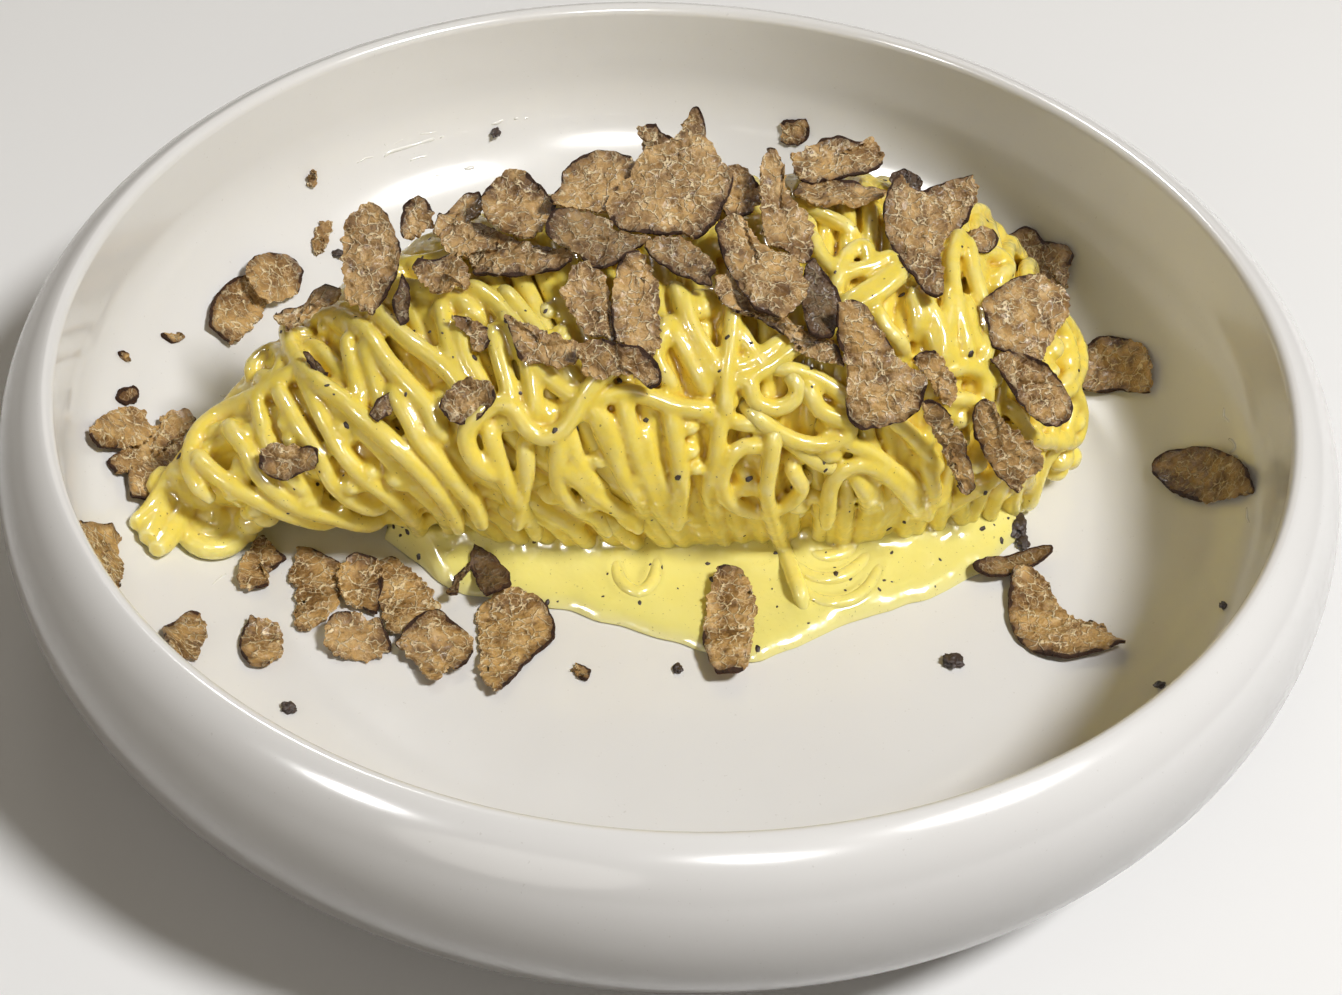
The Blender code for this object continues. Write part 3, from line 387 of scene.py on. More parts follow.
# Outlines of the shavings as the picture shows them, by the number of their solid: the pixels of
# the corners, in runs. The first run starts the sides with dark rind, the second torn sides, and
# so on in turn. From 70 on they are flakes.
OUTLINES = {
    1: (((231, 342), (220, 332), (211, 325), (211, 312), (214, 300), (222, 288), (232, 278)),
        ((245, 274), (262, 280), (270, 291), (268, 303), (262, 316), (252, 328), (240, 340))),
    2: (((247, 265), (255, 255), (270, 251), (285, 253), (297, 260), (304, 270), (302, 282)),
        ((300, 292), (285, 300), (270, 302), (258, 292), (250, 280))),
    3: (((132, 496), (130, 480)), ((129, 470),), ((118, 472), (108, 458)),
        ((120, 450), (135, 445), (155, 425), (170, 412)), ((180, 407), (188, 411), (198, 420)),
        ((188, 430), (183, 445), (180, 460), (172, 472), (160, 484)),
        ((152, 498),)),
    4: (((118, 448), (103, 447), (95, 440)), ((92, 431), (98, 420), (112, 410), (130, 405), (148, 409),
         (150, 420), (157, 430), (148, 441), (134, 446))),
    5: (((82, 518), (90, 521), (105, 522), (115, 523), (118, 530)),
        ((122, 533), (120, 545), (124, 560), (125, 574), (118, 590), (100, 572), (86, 545))),
    6: (((163, 625), (175, 620), (185, 612), (192, 608)), ((200, 613), (206, 622), (207, 633),
         (202, 645), (197, 657), (183, 655)), ((168, 640),)),
    7: (((271, 660), (262, 663), (252, 661), (243, 652), (240, 640), (242, 628), (251, 613)),
        ((256, 617), (268, 617), (278, 622), (283, 640), (280, 652))),
    8: (((276, 547), (287, 557), (281, 561)), ((272, 567), (264, 573)),
        ((268, 582), (262, 584)), ((250, 586), (240, 584), (237, 577), (240, 565), (244, 553),
         (252, 541), (262, 533), (270, 541))),
    9: (((296, 545), (310, 546), (325, 552)), ((340, 560), (346, 575), (342, 590), (336, 605),
         (324, 618), (312, 627), (300, 627), (293, 615), (297, 600), (296, 588), (288, 577),
         (290, 567), (294, 556))),
    10: (((378, 558), (390, 553)), ((396, 556), (410, 567), (425, 580), (435, 593), (440, 607),
          (427, 612), (412, 625), (400, 632), (388, 628), (382, 612)),
         ((378, 595), (375, 575))),
    11: (((345, 558), (355, 550), (365, 552)), ((378, 556),),
         ((382, 575), (380, 592), (377, 612)), ((362, 606), (346, 602), (341, 590), (337, 573))),
    12: (((326, 625), (330, 617), (338, 611)), ((350, 610), (360, 612)),
         ((370, 618), (380, 617), (385, 628), (392, 640)), ((390, 648), (380, 655), (365, 658),
          (350, 657), (335, 653), (325, 643), (322, 635))),
    13: (((395, 641), (405, 626), (415, 615), (425, 610), (440, 608), (450, 617), (462, 625)),
         ((469, 631), (474, 637)), ((472, 648), (468, 660)),
         ((455, 667), (448, 662), (440, 677), (428, 678), (420, 665), (410, 655)),
         ((400, 648),)),
    14: (((548, 605), (556, 622), (554, 635), (548, 642), (535, 652), (520, 668), (510, 680)),
         ((502, 686), (494, 688), (485, 680), (481, 665), (480, 645), (479, 628), (475, 615),
          (482, 601), (495, 592), (515, 583), (527, 588)), ((540, 597),)),
    15: (((475, 543), (482, 550), (495, 558), (502, 568), (510, 575), (512, 588), (500, 592),
          (485, 598), (479, 590), (475, 580), (470, 568), (471, 555)),),
    16: (((745, 673), (735, 674), (717, 675), (708, 660), (702, 645)),
         ((702, 634), (706, 615), (708, 598), (712, 582)), ((718, 568), (726, 567), (737, 568)),
         ((745, 575), (752, 590), (757, 610), (753, 630), (750, 650), (747, 667))),
    18: (((1128, 642), (1110, 646), (1095, 649), (1080, 653), (1065, 655), (1050, 653), (1035, 649),
          (1021, 640), (1012, 627), (1009, 610), (1009, 590), (1012, 572)),
         ((1018, 559), (1026, 563), (1036, 568), (1044, 578), (1051, 590), (1057, 602), (1070, 612),
          (1082, 619), (1096, 622), (1110, 631))),
    19: (((1151, 463), (1158, 453), (1172, 448), (1190, 446), (1205, 445), (1220, 450), (1234, 456),
          (1245, 467), (1249, 478), (1251, 490)), ((1246, 493), (1225, 497)),
         ((1200, 500), (1182, 495), (1168, 489), (1158, 477), (1151, 472))),
    20: (((1078, 386), (1084, 345), (1094, 337), (1110, 334)),
         ((1128, 337), (1142, 344), (1150, 360)), ((1150, 391), (1135, 392), (1118, 388), (1100, 391),
          (1086, 388))),
    21: (((1000, 240), (1010, 232), (1022, 225), (1032, 228), (1042, 240), (1055, 242), (1067, 245),
          (1073, 253)), ((1069, 265), (1068, 287), (1050, 282)),
         ((1035, 271), (1020, 256), (1005, 247))),
    22: (((274, 316), (288, 308), (302, 302), (314, 289), (325, 282)),
         ((341, 287), (336, 299), (320, 307), (303, 318), (286, 329))),
    23: (((404, 240), (400, 232), (401, 216), (404, 205), (410, 199), (418, 194), (427, 199)),
         ((433, 211), (432, 226), (418, 235))),
    24: (((372, 201), (380, 206), (390, 220), (397, 238), (400, 248), (396, 274), (385, 296)),
         ((373, 315), (360, 309), (346, 300), (343, 280), (341, 257), (342, 236), (346, 221),
          (358, 206))),
    25: ((), ((433, 230),), ((438, 215), (450, 206), (465, 194), (480, 189)),
         ((487, 203), (475, 218), (455, 223), (440, 234))),
    26: (((560, 266), (545, 270), (520, 273), (495, 275)), ((471, 272), (474, 262), (467, 255),
          (450, 252), (440, 243), (438, 233), (455, 220), (480, 220), (500, 232), (522, 240),
          (545, 244), (568, 250)), ((574, 258),)),
    27: (((488, 218), (481, 205), (482, 192)), ((490, 184), (500, 173), (512, 169)),
         ((526, 172), (537, 181), (547, 190), (557, 201)), ((555, 214), (546, 226), (535, 236),
          (515, 233), (498, 225))),
    28: (((553, 203), (550, 196), (561, 187), (563, 171), (572, 161), (585, 154), (600, 149),
          (618, 151)), ((633, 155), (640, 172), (636, 192), (625, 211), (600, 211), (575, 206))),
    29: ((), ((636, 126),), ((645, 124), (655, 123), (660, 132)),
         ((672, 138), (680, 148), (674, 166), (655, 170), (643, 158), (642, 145))),
    30: (((545, 230), (547, 215), (556, 207)), ((580, 209), (607, 216), (618, 228), (640, 232)),
         ((651, 235), (641, 243), (630, 252), (619, 260), (608, 267), (592, 267)),
         ((583, 258), (566, 246)), ((552, 238),)),
    31: (((727, 163), (734, 172), (732, 188), (724, 206), (716, 221), (703, 233)),
         ((693, 239),), ((684, 231), (662, 234), (642, 232), (622, 229)),
         ((608, 219), (606, 205), (613, 190), (624, 178), (636, 160), (646, 146), (664, 143),
          (677, 135), (684, 122)), ((690, 110), (698, 105), (704, 116)),
         ((706, 131), (716, 149))),
    32: (((712, 285), (700, 283), (685, 277), (670, 269), (655, 259)),
         ((645, 246), (652, 238), (664, 234), (685, 237), (700, 246), (710, 257)),
         ((717, 268), (711, 276))),
    33: ((), ((567, 275), (573, 265), (584, 261), (594, 264), (605, 276), (611, 300), (613, 318),
          (617, 341), (608, 338), (600, 336), (588, 335), (577, 320), (568, 305), (560, 293))),
    34: (((615, 268), (625, 255)), ((640, 248), (650, 264), (658, 280), (660, 300), (661, 322),
          (660, 345), (652, 358), (640, 352), (625, 343)), ((616, 340), (613, 320)),
         ((612, 300), (613, 285))),
    35: (((521, 362), (515, 348), (510, 330)), ((503, 316), (508, 313), (516, 320), (527, 322),
          (540, 328), (552, 333), (564, 336), (577, 342), (580, 352), (577, 362), (568, 364),
          (560, 369), (550, 365), (536, 362))),
    36: (((600, 337), (611, 343), (625, 345), (640, 345), (648, 352), (656, 360), (662, 372),
          (660, 381), (654, 387), (648, 389)), ((642, 381), (638, 371), (625, 376), (610, 377),
          (600, 379), (586, 374), (577, 358), (578, 343), (590, 338))),
    37: (((780, 331), (760, 319), (745, 312), (727, 307)), ((717, 297), (716, 274), (728, 271),
          (742, 285), (753, 300), (772, 310), (790, 318), (803, 327), (813, 340)),
         ((838, 345),), ((846, 366), (830, 363), (812, 359)),
         ((796, 344),)),
    38: (((783, 318), (770, 313), (755, 306), (745, 292), (735, 280), (726, 263), (719, 242),
          (714, 223)), ((722, 217), (735, 211), (746, 225), (756, 236), (768, 245), (782, 250),
          (795, 256), (803, 266), (808, 281), (806, 293), (797, 306))),
    39: (((728, 214), (721, 205)), ((725, 190), (724, 172), (730, 163), (742, 165)),
         ((752, 174),), ((760, 186), (760, 201)), ((752, 212), (740, 216))),
    40: (((792, 190), (800, 181), (825, 177), (845, 178), (862, 182)),
         ((888, 188), (882, 197), (855, 202), (828, 203), (804, 199))),
    41: (((884, 158), (880, 165), (865, 172), (845, 177), (825, 179), (812, 183)),
         ((800, 178), (794, 166), (790, 152), (800, 149)), ((815, 143), (822, 136), (840, 135),
          (850, 140)), ((866, 138), (873, 133), (880, 146))),
    42: (((765, 147),), ((776, 145), (782, 160), (786, 182), (793, 198), (806, 212), (815, 228),
          (812, 238)), ((814, 250),), ((808, 263), (798, 262), (788, 251), (779, 245), (768, 248),
          (762, 235), (760, 205), (761, 175))),
    43: (((806, 265), (815, 257), (825, 273), (838, 288), (842, 301), (840, 320), (832, 335),
          (822, 338), (812, 333), (806, 322), (802, 305), (803, 283)),),
    44: (((889, 177), (893, 171), (905, 168), (918, 175), (923, 181), (921, 191), (905, 191),
          (893, 184)),),
    45: (((918, 190), (933, 186), (952, 179)), ((975, 173), (978, 190)),
         ((972, 206), (968, 220), (958, 232)), ((950, 238), (940, 232), (928, 222), (920, 205))),
    46: (((936, 297), (925, 290), (917, 278), (905, 266), (894, 250), (886, 232), (884, 210),
          (887, 191), (892, 180)), ((900, 172), (906, 180), (912, 190), (930, 195), (945, 208),
          (947, 222), (943, 242), (941, 262)), ((944, 278), (944, 293))),
    47: (((1010, 351), (992, 348), (989, 333), (986, 317), (981, 303), (989, 294), (1000, 286),
          (1012, 277)), ((1026, 273), (1042, 273), (1055, 282), (1069, 289), (1071, 301), (1070, 312),
          (1060, 326), (1050, 343), (1042, 360)), ((1028, 355),)),
    48: (((1010, 352), (1030, 355), (1045, 363), (1057, 375), (1067, 390), (1074, 407), (1070, 420),
          (1059, 427), (1045, 425), (1030, 415), (1018, 401), (1009, 385), (1000, 370)),
         ((989, 358), (996, 352))),
    49: (((914, 361), (919, 353), (926, 350)), ((936, 352), (946, 360), (951, 373), (958, 386),
          (957, 399), (951, 408), (940, 400), (931, 382), (921, 371))),
    50: (((921, 410), (905, 421), (880, 428), (862, 430), (849, 421)),
         ((845, 402), (846, 385), (848, 366)), ((840, 350), (838, 330)),
         ((838, 302),), ((852, 298), (865, 303)), ((875, 318),),
         ((885, 335),), ((892, 348), (902, 361), (918, 369)),
         ((928, 381), (925, 396))),
    51: (((922, 402), (932, 400), (944, 407)), ((951, 418), (960, 431)),
         ((967, 442), (966, 455), (972, 465), (974, 478), (976, 489), (968, 497), (960, 492)),
         ((957, 480), (952, 468), (945, 455), (934, 435), (924, 418))),
    52: (((1020, 495), (1010, 489), (1000, 479), (990, 466), (981, 449), (975, 435), (973, 420),
          (976, 409), (981, 402)), ((988, 399), (994, 409), (1004, 424), (1018, 434), (1028, 443),
          (1036, 448), (1044, 457), (1043, 474), (1031, 477), (1024, 484))),
    53: (((316, 449), (318, 463), (312, 470), (300, 474), (290, 480), (280, 481), (268, 476),
          (259, 467)), ((258, 455), (262, 446), (271, 443), (286, 445)),
         ((300, 447), (309, 445))),
    54: (((494, 388), (495, 397), (493, 404), (485, 413), (477, 421), (460, 425), (449, 421),
          (438, 407)), ((441, 398), (451, 388), (458, 380), (470, 377), (480, 381), (488, 382))),
    55: (((412, 266), (419, 258), (435, 257)), ((451, 252), (462, 259), (470, 272), (466, 288),
          (455, 284), (448, 292), (435, 290), (425, 284), (415, 276))),
    56: (((402, 273), (410, 285), (408, 304), (409, 320), (400, 325), (395, 311), (393, 297)),),
    75: (((576, 662), (584, 665), (592, 669), (588, 679)), ((580, 677), (571, 669))),
    76: (((474, 563), (466, 572), (460, 582), (458, 594), (450, 597), (446, 593), (452, 586),
          (454, 580), (463, 571)),),
    80: (((368, 415), (378, 398), (392, 390)), ((400, 395), (398, 405)),
         ((388, 415), (378, 422))),
    81: (((452, 315),), ((465, 315), (475, 322)), ((485, 325), (499, 330), (490, 340)),
         ((482, 352), (473, 350), (468, 335), (455, 325))),
    82: (((303, 352), (308, 350), (315, 358), (328, 375), (322, 376), (312, 366)),),
}

# Flakes without rind, and how much darker than the rest some shavings are: partly their own darker
# tone, partly painted shade on those that lie in shadow
PALE_FLAKES = (73, 74)
DARK_TONE_AND_SHADE = {6: 0.15, 15: 0.85, 17: 0.5, 19: 0.3, 21: 0.2, 30: 0.35, 32: 0.3, 43: 0.8, 44: 1.0,
            56: 0.7, 76: 0.7, 80: 0.3, 82: 0.8}

# Light that comes from all round, over and under the table's edge
ABOVE_LIGHT = (0.100, 0.082, 0.054)
BELOW_LIGHT = (0.05, 0.044, 0.04)


# Objects

def deselect_all():
    if bpy.context.object and bpy.context.object.mode != "OBJECT":
        bpy.ops.object.mode_set(mode="OBJECT")
    bpy.ops.object.select_all(action="DESELECT")


def pick(item):
    deselect_all()
    item.select_set(True)
    bpy.context.view_layer.objects.active = item


def modified(item, kind, **settings):
    """Adds a modifier and applies it."""
    pick(item)
    modifier = item.modifiers.new(kind.lower(), kind)
    for name, value in settings.items():
        setattr(modifier, name, value)
    bpy.ops.object.modifier_apply(modifier=modifier.name)
    return item


def joined(items, name):
    deselect_all()
    for item in items:
        item.select_set(True)
    bpy.context.view_layer.objects.active = items[0]
    if len(items) > 1:
        bpy.ops.object.join()
    items[0].name = items[0].data.name = name
    return items[0]


def copied(item, name):
    twin = bpy.data.objects.new(name, item.data.copy())
    twin.data.name = name
    bpy.context.scene.collection.objects.link(twin)
    return twin


def tidied(item):
    """Merges doubles and turns every face outwards."""
    pick(item)
    bpy.ops.object.mode_set(mode="EDIT")
    bpy.ops.mesh.select_all(action="SELECT")
    bpy.ops.mesh.remove_doubles(threshold=0.000001)
    bpy.ops.mesh.normals_make_consistent(inside=False)
    bpy.ops.object.mode_set(mode="OBJECT")
    return item


def smoothed(item, angle=180):
    pick(item)
    if angle >= 180:
        bpy.ops.object.shade_smooth()
    else:
        bpy.ops.object.shade_smooth_by_angle(angle=math.radians(angle))
    return item


def finished(item, material, slot, *nodes):
    """Gives a piece its material and its body, and hides the nodes that it stands for."""
    item.data.materials.clear()
    item.data.materials.append(material)
    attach(item, "root")
    if nodes:
        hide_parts(*nodes)
    return item


def positions(item):
    places = np.empty(len(item.data.vertices) * 3)
    item.data.vertices.foreach_get("co", places)
    return places.reshape(-1, 3)


def set_positions(item, places):
    item.data.vertices.foreach_set("co", places.reshape(-1))
    item.data.update()


def write_attribute(item, name, values):
    layer = item.data.attributes.new(name, "FLOAT", "POINT")
    layer.data.foreach_set("value", np.asarray(values, dtype=float))


def tree_of(item):
    mesh = item.data
    corners = [vertex.co for vertex in mesh.vertices]
    return BVHTree.FromPolygons(corners, [tuple(face.vertices) for face in mesh.polygons])


# The view

def camera_axes():
    """The camera's place and its directions to the right, up and back."""
    away = Vector((0, -math.cos(VIEW_ELEVATION), math.sin(VIEW_ELEVATION)))
    right = Vector((1, 0, 0))
    up = away.cross(right)
    turned = right * math.cos(VIEW_ROLL) + up * math.sin(VIEW_ROLL)
    upright = up * math.cos(VIEW_ROLL) - right * math.sin(VIEW_ROLL)
    return VIEW_TARGET + away * VIEW_DISTANCE, turned, upright, away


def sight(x, y):
    """Where a line of sight through a pixel starts, and its direction."""
    place, right, up, away = camera_axes()
    ray = right * (x - PICTURE_WIDTH / 2) + up * (PICTURE_HEIGHT / 2 - y) - away * FOCAL_PIXELS
    return place, ray.normalized()


# Shaders

class Value:
    """A shader socket. Python arithmetic on it adds Math nodes."""

    def __init__(self, finish, socket):
        self.finish = finish
        self.socket = socket

    def __add__(self, other):
        return self.finish.maths("ADD", self, other)

    __radd__ = __add__

    def __sub__(self, other):
        return self.finish.maths("SUBTRACT", self, other)

    def __rsub__(self, other):
        return self.finish.maths("SUBTRACT", other, self)

    def __mul__(self, other):
        return self.finish.maths("MULTIPLY", self, other)

    __rmul__ = __mul__

    def ramp(self, low, high):
        """0 below low and 1 above high, with a smooth rise. low may be above high."""
        return self.finish.node("MapRange", {"interpolation_type": "SMOOTHSTEP"},
                                {"Value": self, "From Min": low, "From Max": high})


class Finish:
    """A material that is written as expressions."""

    def __init__(self, name):
        self.material = bpy.data.materials.new(name)
        self.material.use_nodes = True
        self.tree = self.material.node_tree
        self.shader = self.tree.nodes["Principled BSDF"]
        self.place = self.node("TexCoord", output="Object")

    def feed(self, socket, value):
        if isinstance(value, Value):
            self.tree.links.new(value.socket, socket)
        else:
            socket.default_value = value

    def node(self, kind, settings=None, inputs=None, output=0):
        made = self.tree.nodes.new("ShaderNode" + kind)
        for name, value in (settings or {}).items():
            setattr(made, name, value)
        for name, value in (inputs or {}).items():
            self.feed(made.inputs[name], value)
        return Value(self, made.outputs[output])

    def maths(self, operation, first, second):
        return self.node("Math", {"operation": operation}, {0: first, 1: second})

    def mix(self, amount, first, second):
        colours = [value if isinstance(value, Value) else (*value, 1) for value in (first, second)]
        return self.node("Mix", {"data_type": "RGBA"},
                         {0: amount, 6: colours[0], 7: colours[1]}, output=2)

    def noise(self, size, detail):
        """Noise from 0 to 1 whose lumps are about size millimetres across."""
        return self.node("TexNoise", None, {"Vector": self.place, "Scale": 1 / (size * MM),
                                            "Detail": detail})

    def warped(self, size, amount, place=None):
        """The place, pushed about by noise, up to amount millimetres."""
        place = place or self.place
        drift = self.node("TexNoise", None, {"Vector": place, "Scale": 1 / (size * MM),
                                             "Detail": 2.0}, output=1)
        middle = self.node("VectorMath", {"operation": "SUBTRACT"}, {0: drift, 1: (0.5, 0.5, 0.5)})
        push = self.node("VectorMath", {"operation": "SCALE"}, {0: middle, "Scale": amount * MM})
        return self.node("VectorMath", {"operation": "ADD"}, {0: place, 1: push})

    def cells(self, size, feature, place):
        return self.node("TexVoronoi", {"feature": feature},
                         {"Vector": place, "Scale": 1 / (size * MM)})

    def attribute(self, name):
        return self.node("Attribute", {"attribute_name": name}, output="Fac")

    def bump(self, height, depth):
        """Relief from a height of 0 to 1, depth millimetres deep."""
        return self.node("Bump", None, {"Height": height, "Strength": 1.0, "Distance": depth * MM})

    def set(self, **values):
        for name, value in values.items():
            self.feed(self.shader.inputs[name.replace("_", " ")], value)
        return self.material


def glaze_finish():
    finish = Finish("white_glaze")
    cloud = finish.noise(38, 3)
    speck = finish.noise(0.7, 1).ramp(0.74, 0.80)
    colour = finish.mix(cloud, (0.755, 0.745, 0.735), (0.80, 0.795, 0.785))
    colour = finish.mix(speck * 0.25, colour, (0.45, 0.42, 0.38))
    gloss = 0.13 + finish.noise(9, 4) * 0.12
    relief = finish.bump(finish.noise(16, 1), 0.10)
    return finish.set(Base_Color=colour, Roughness=gloss, Normal=relief, Coat_Weight=0.35,
                      Coat_Roughness=0.04, IOR=1.5)


def noodle_finish():
    finish = Finish("creamy_noodle")
    hollow = finish.attribute("hollow")
    low = finish.attribute("low")
    broad = finish.noise(24, 2)
    fine = finish.noise(2.2, 3)
    bright = finish.mix(broad, (0.84, 0.64, 0.07), (0.87, 0.705, 0.13))
    colour = finish.mix(low * 0.5, bright, (0.86, 0.73, 0.17))
    colour = finish.mix(fine.ramp(0.4, 0.8) * 0.35, colour, (0.89, 0.79, 0.28))
    # Painted light: paler colour on the ridge tops of the strands
    colour = finish.mix(hollow.ramp(-0.10, -0.45) * 0.7, colour, (0.92, 0.845, 0.46))
    # Painted shade: dark amber colour in the grooves between strands
    colour = finish.mix(hollow.ramp(0.0, 0.6) * 0.9, colour, (0.58, 0.33, 0.012))
    colour = finish.mix(low.ramp(0.78, 0.92) * 0.85, colour, (0.88, 0.775, 0.24))
    speck = finish.noise(0.8, 1).ramp(0.735, 0.775)
    colour = finish.mix(speck * 0.7, colour, (0.20, 0.13, 0.04))
    wet = finish.noise(2.2, 3).ramp(0.42, 0.54)
    gloss = 0.24 + finish.noise(3.5, 3) * 0.2
    relief = finish.bump(finish.noise(2.2, 2), 0.10)
    coat = (0.15 + wet * 0.85) * (1 - hollow.ramp(0.0, 0.4) * 0.85)
    return finish.set(Base_Color=colour, Roughness=gloss, Normal=relief, Coat_Weight=coat,
                      Coat_Roughness=0.07, Coat_IOR=1.55, IOR=1.36, Subsurface_Weight=0.5,
                      Subsurface_Radius=(1.0, 0.95, 0.25), Subsurface_Scale=0.0024)


def sauce_finish():
    finish = Finish("egg_sauce")
    thin = finish.attribute("thin")
    broad = finish.noise(14, 3)
    colour = finish.mix(broad, (0.86, 0.745, 0.19), (0.90, 0.80, 0.28))
    colour = finish.mix(thin * 0.5, colour, (0.84, 0.76, 0.42))
    bubble = finish.cells(3.1, "F1", finish.warped(2.0, 1.2))
    ring = bubble.ramp(0.10, 0.06) * finish.noise(5, 1).ramp(0.50, 0.60)
    speck = finish.noise(0.55, 1).ramp(0.72, 0.76)
    colour = finish.mix(ring * 0.35, colour, (0.55, 0.45, 0.16))
    colour = finish.mix(speck * 0.6, colour, (0.36, 0.27, 0.09))
    gloss = 0.14 + finish.noise(5, 3) * 0.16
    relief = finish.bump(finish.noise(4.0, 2) - ring * 0.3, 0.25)
    return finish.set(Base_Color=colour, Roughness=gloss, Normal=relief, Coat_Weight=0.6,
                      Coat_Roughness=0.05, IOR=1.42, Subsurface_Weight=0.25,
                      Subsurface_Radius=(1.0, 0.8, 0.35), Subsurface_Scale=0.0015)


def truffle_finish():
    finish = Finish("truffle_flesh")
    place = finish.warped(1.1, 1.1, finish.warped(3.0, 2.4))
    wide = finish.cells(2.5, "DISTANCE_TO_EDGE", place)
    narrow = finish.cells(1.1, "DISTANCE_TO_EDGE", finish.warped(0.8, 0.9))
    patchy = finish.noise(3.2, 3)
    broken = finish.noise(1.7, 2)
    veins = wide.ramp(0.085, 0.015) * broken.ramp(0.38, 0.55)
    threads = narrow.ramp(0.11, 0.02) * finish.noise(2.2, 2).ramp(0.42, 0.60) * 0.65
    tone = finish.noise(6, 3)
    colour = finish.mix(tone.ramp(0.32, 0.68), (0.18, 0.088, 0.022), (0.55, 0.335, 0.118))
    colour = finish.mix(finish.noise(0.7, 3).ramp(0.4, 0.7) * 0.4, colour, (0.43, 0.26, 0.10))
    rough = finish.noise(3.0, 2)
    # Painted shade: darker colour in the low spots of the relief
    colour = finish.mix(rough.ramp(0.46, 0.32) * 0.55, colour, (0.09, 0.04, 0.012))
    # Painted light: lighter colour on the relief's high spots
    colour = finish.mix(rough.ramp(0.56, 0.72) * 0.4, colour, (0.72, 0.52, 0.26))
    colour = finish.mix(threads, colour, (0.68, 0.49, 0.26))
    colour = finish.mix(veins * 0.9, colour, (0.88, 0.71, 0.44))
    # Darker shavings: partly their own tone, partly painted shade on those that lie in shadow
    dark = finish.attribute("dark")
    colour = finish.mix(dark * (0.55 + 0.6 * tone), colour, (0.035, 0.02, 0.014))
    edge = finish.attribute("edge")
    rinded = finish.attribute("rind").ramp(0.35, 0.65)
    ragged = edge + (finish.noise(2.4, 3) - 0.5) * 2.2 + (finish.noise(6, 2) - 0.5) * 2.6
    rind = ragged.ramp(0.5, 0.25) * rinded
    stain = ragged.ramp(2.6, 0.5) * rinded * 0.55
    colour = finish.mix(stain, colour, (0.09, 0.038, 0.014))
    colour = finish.mix(rind, colour, (0.045, 0.018, 0.007))
    relief = finish.bump(veins * 0.6 + rough * 2.0 + finish.noise(1.2, 3) * 1.3, 0.6)
    return finish.set(Base_Color=colour, Roughness=0.42 + patchy * 0.2 + rind * 0.3,
                      Normal=relief, Coat_Weight=0.12 - rind * 0.12, Coat_Roughness=0.2,
                      IOR=1.33, Subsurface_Weight=0.12,
                      Subsurface_Radius=(1.0, 0.7, 0.4), Subsurface_Scale=0.0008)


def crumb_finish():
    finish = Finish("dark_rind")
    colour = finish.mix(finish.noise(0.9, 2), (0.012, 0.008, 0.006), (0.075, 0.042, 0.028))
    return finish.set(Base_Color=colour, Roughness=0.38 + finish.noise(0.6, 1) * 0.2,
                      Normal=finish.bump(finish.noise(0.5, 2), 0.12))


def drop_finish():
    finish = Finish("wet_drop")
    colour = finish.mix(finish.noise(2, 2), (0.80, 0.79, 0.76), (0.86, 0.85, 0.81))
    return finish.set(Base_Color=colour, Roughness=0.03 + finish.noise(3, 1) * 0.04,
                      Coat_Weight=1.0, Coat_Roughness=0.02)


def floor_finish():
    finish = Finish("pale_floor")
    colour = finish.mix(finish.noise(60, 2), (0.86, 0.86, 0.86), (0.88, 0.88, 0.88))
    return finish.set(Base_Color=colour, Roughness=0.8)


# Bowl

def arc(centre, radii, start, end, count):
    """Points (radius, height) on an elliptical arc, with angles in degrees from the outside."""
    for k in range(count + 1):
        angle = math.radians(start + (end - start) * k / count)
        yield (centre[0] + radii[0] * math.cos(angle), centre[1] + radii[1] * math.sin(angle))


def bowl_profile():
    """From the middle of the floor, up the wall, over the rim and down to the foot."""
    points = [(radius, FLOOR) for radius in (0, 8, 24, 40, 56, 70)]
    points += arc((FLOOR_RADIUS, FLOOR + WALL_RISE),
                  (WALL_RADIUS - FLOOR_RADIUS, WALL_RISE), -90, 0, 22)
    upper = (BOWL_RADIUS - LIP_RADIUS, BOWL_HEIGHT - BELLY_HEIGHT)
    lip_angle = math.degrees(math.acos(LIP_ROUND / upper[0]))
    lip_height = BELLY_HEIGHT + upper[1] * math.sin(math.radians(lip_angle))
    points += arc((LIP_RADIUS + LIP_ROUND, lip_height - LIP_ROUND),
                  (LIP_ROUND, LIP_ROUND), 180, 98, 8)
    points += arc((LIP_RADIUS, BELLY_HEIGHT), upper, lip_angle, 0, 20)
    points += list(arc((FOOT_OUTER, BELLY_HEIGHT),
                       (BOWL_RADIUS - FOOT_OUTER, BELLY_HEIGHT), 0, -90, 26))[1:]
    points += [(FOOT_INNER, 0), (FOOT_INNER - FOOT_RECESS, FOOT_RECESS), (0, FOOT_RECESS)]
    return points


def make_bowl(material):
    """Draws half of the bowl's section from one corner of a plane, and spins it."""
    points = bowl_profile()
    deselect_all()
    bpy.ops.mesh.primitive_plane_add(size=1)
    bowl = bpy.context.object
    bm = bmesh.new()
    corner = bm.verts.new((points[0][0] * MM, 0, points[0][1] * MM))
    bm.to_mesh(bowl.data)
    bm.free()
    bpy.ops.object.mode_set(mode="EDIT")
    bpy.ops.mesh.select_all(action="SELECT")
    for start, end in zip(points, points[1:]):
        step = ((end[0] - start[0]) * MM, 0, (end[1] - start[1]) * MM)
        bpy.ops.mesh.extrude_vertices_move(TRANSFORM_OT_translate={"value": step})
    bpy.ops.mesh.select_all(action="SELECT")
    bpy.ops.mesh.spin(steps=BOWL_STEPS, angle=math.tau, center=(0, 0, 0), axis=(0, 0, 1))
    bpy.ops.object.mode_set(mode="OBJECT")
    tidied(bowl)
    bowl.name = bowl.data.name = "glazed_bowl"
    smoothed(bowl, 60)
    return finished(bowl, material, "white_glaze", "bowl")


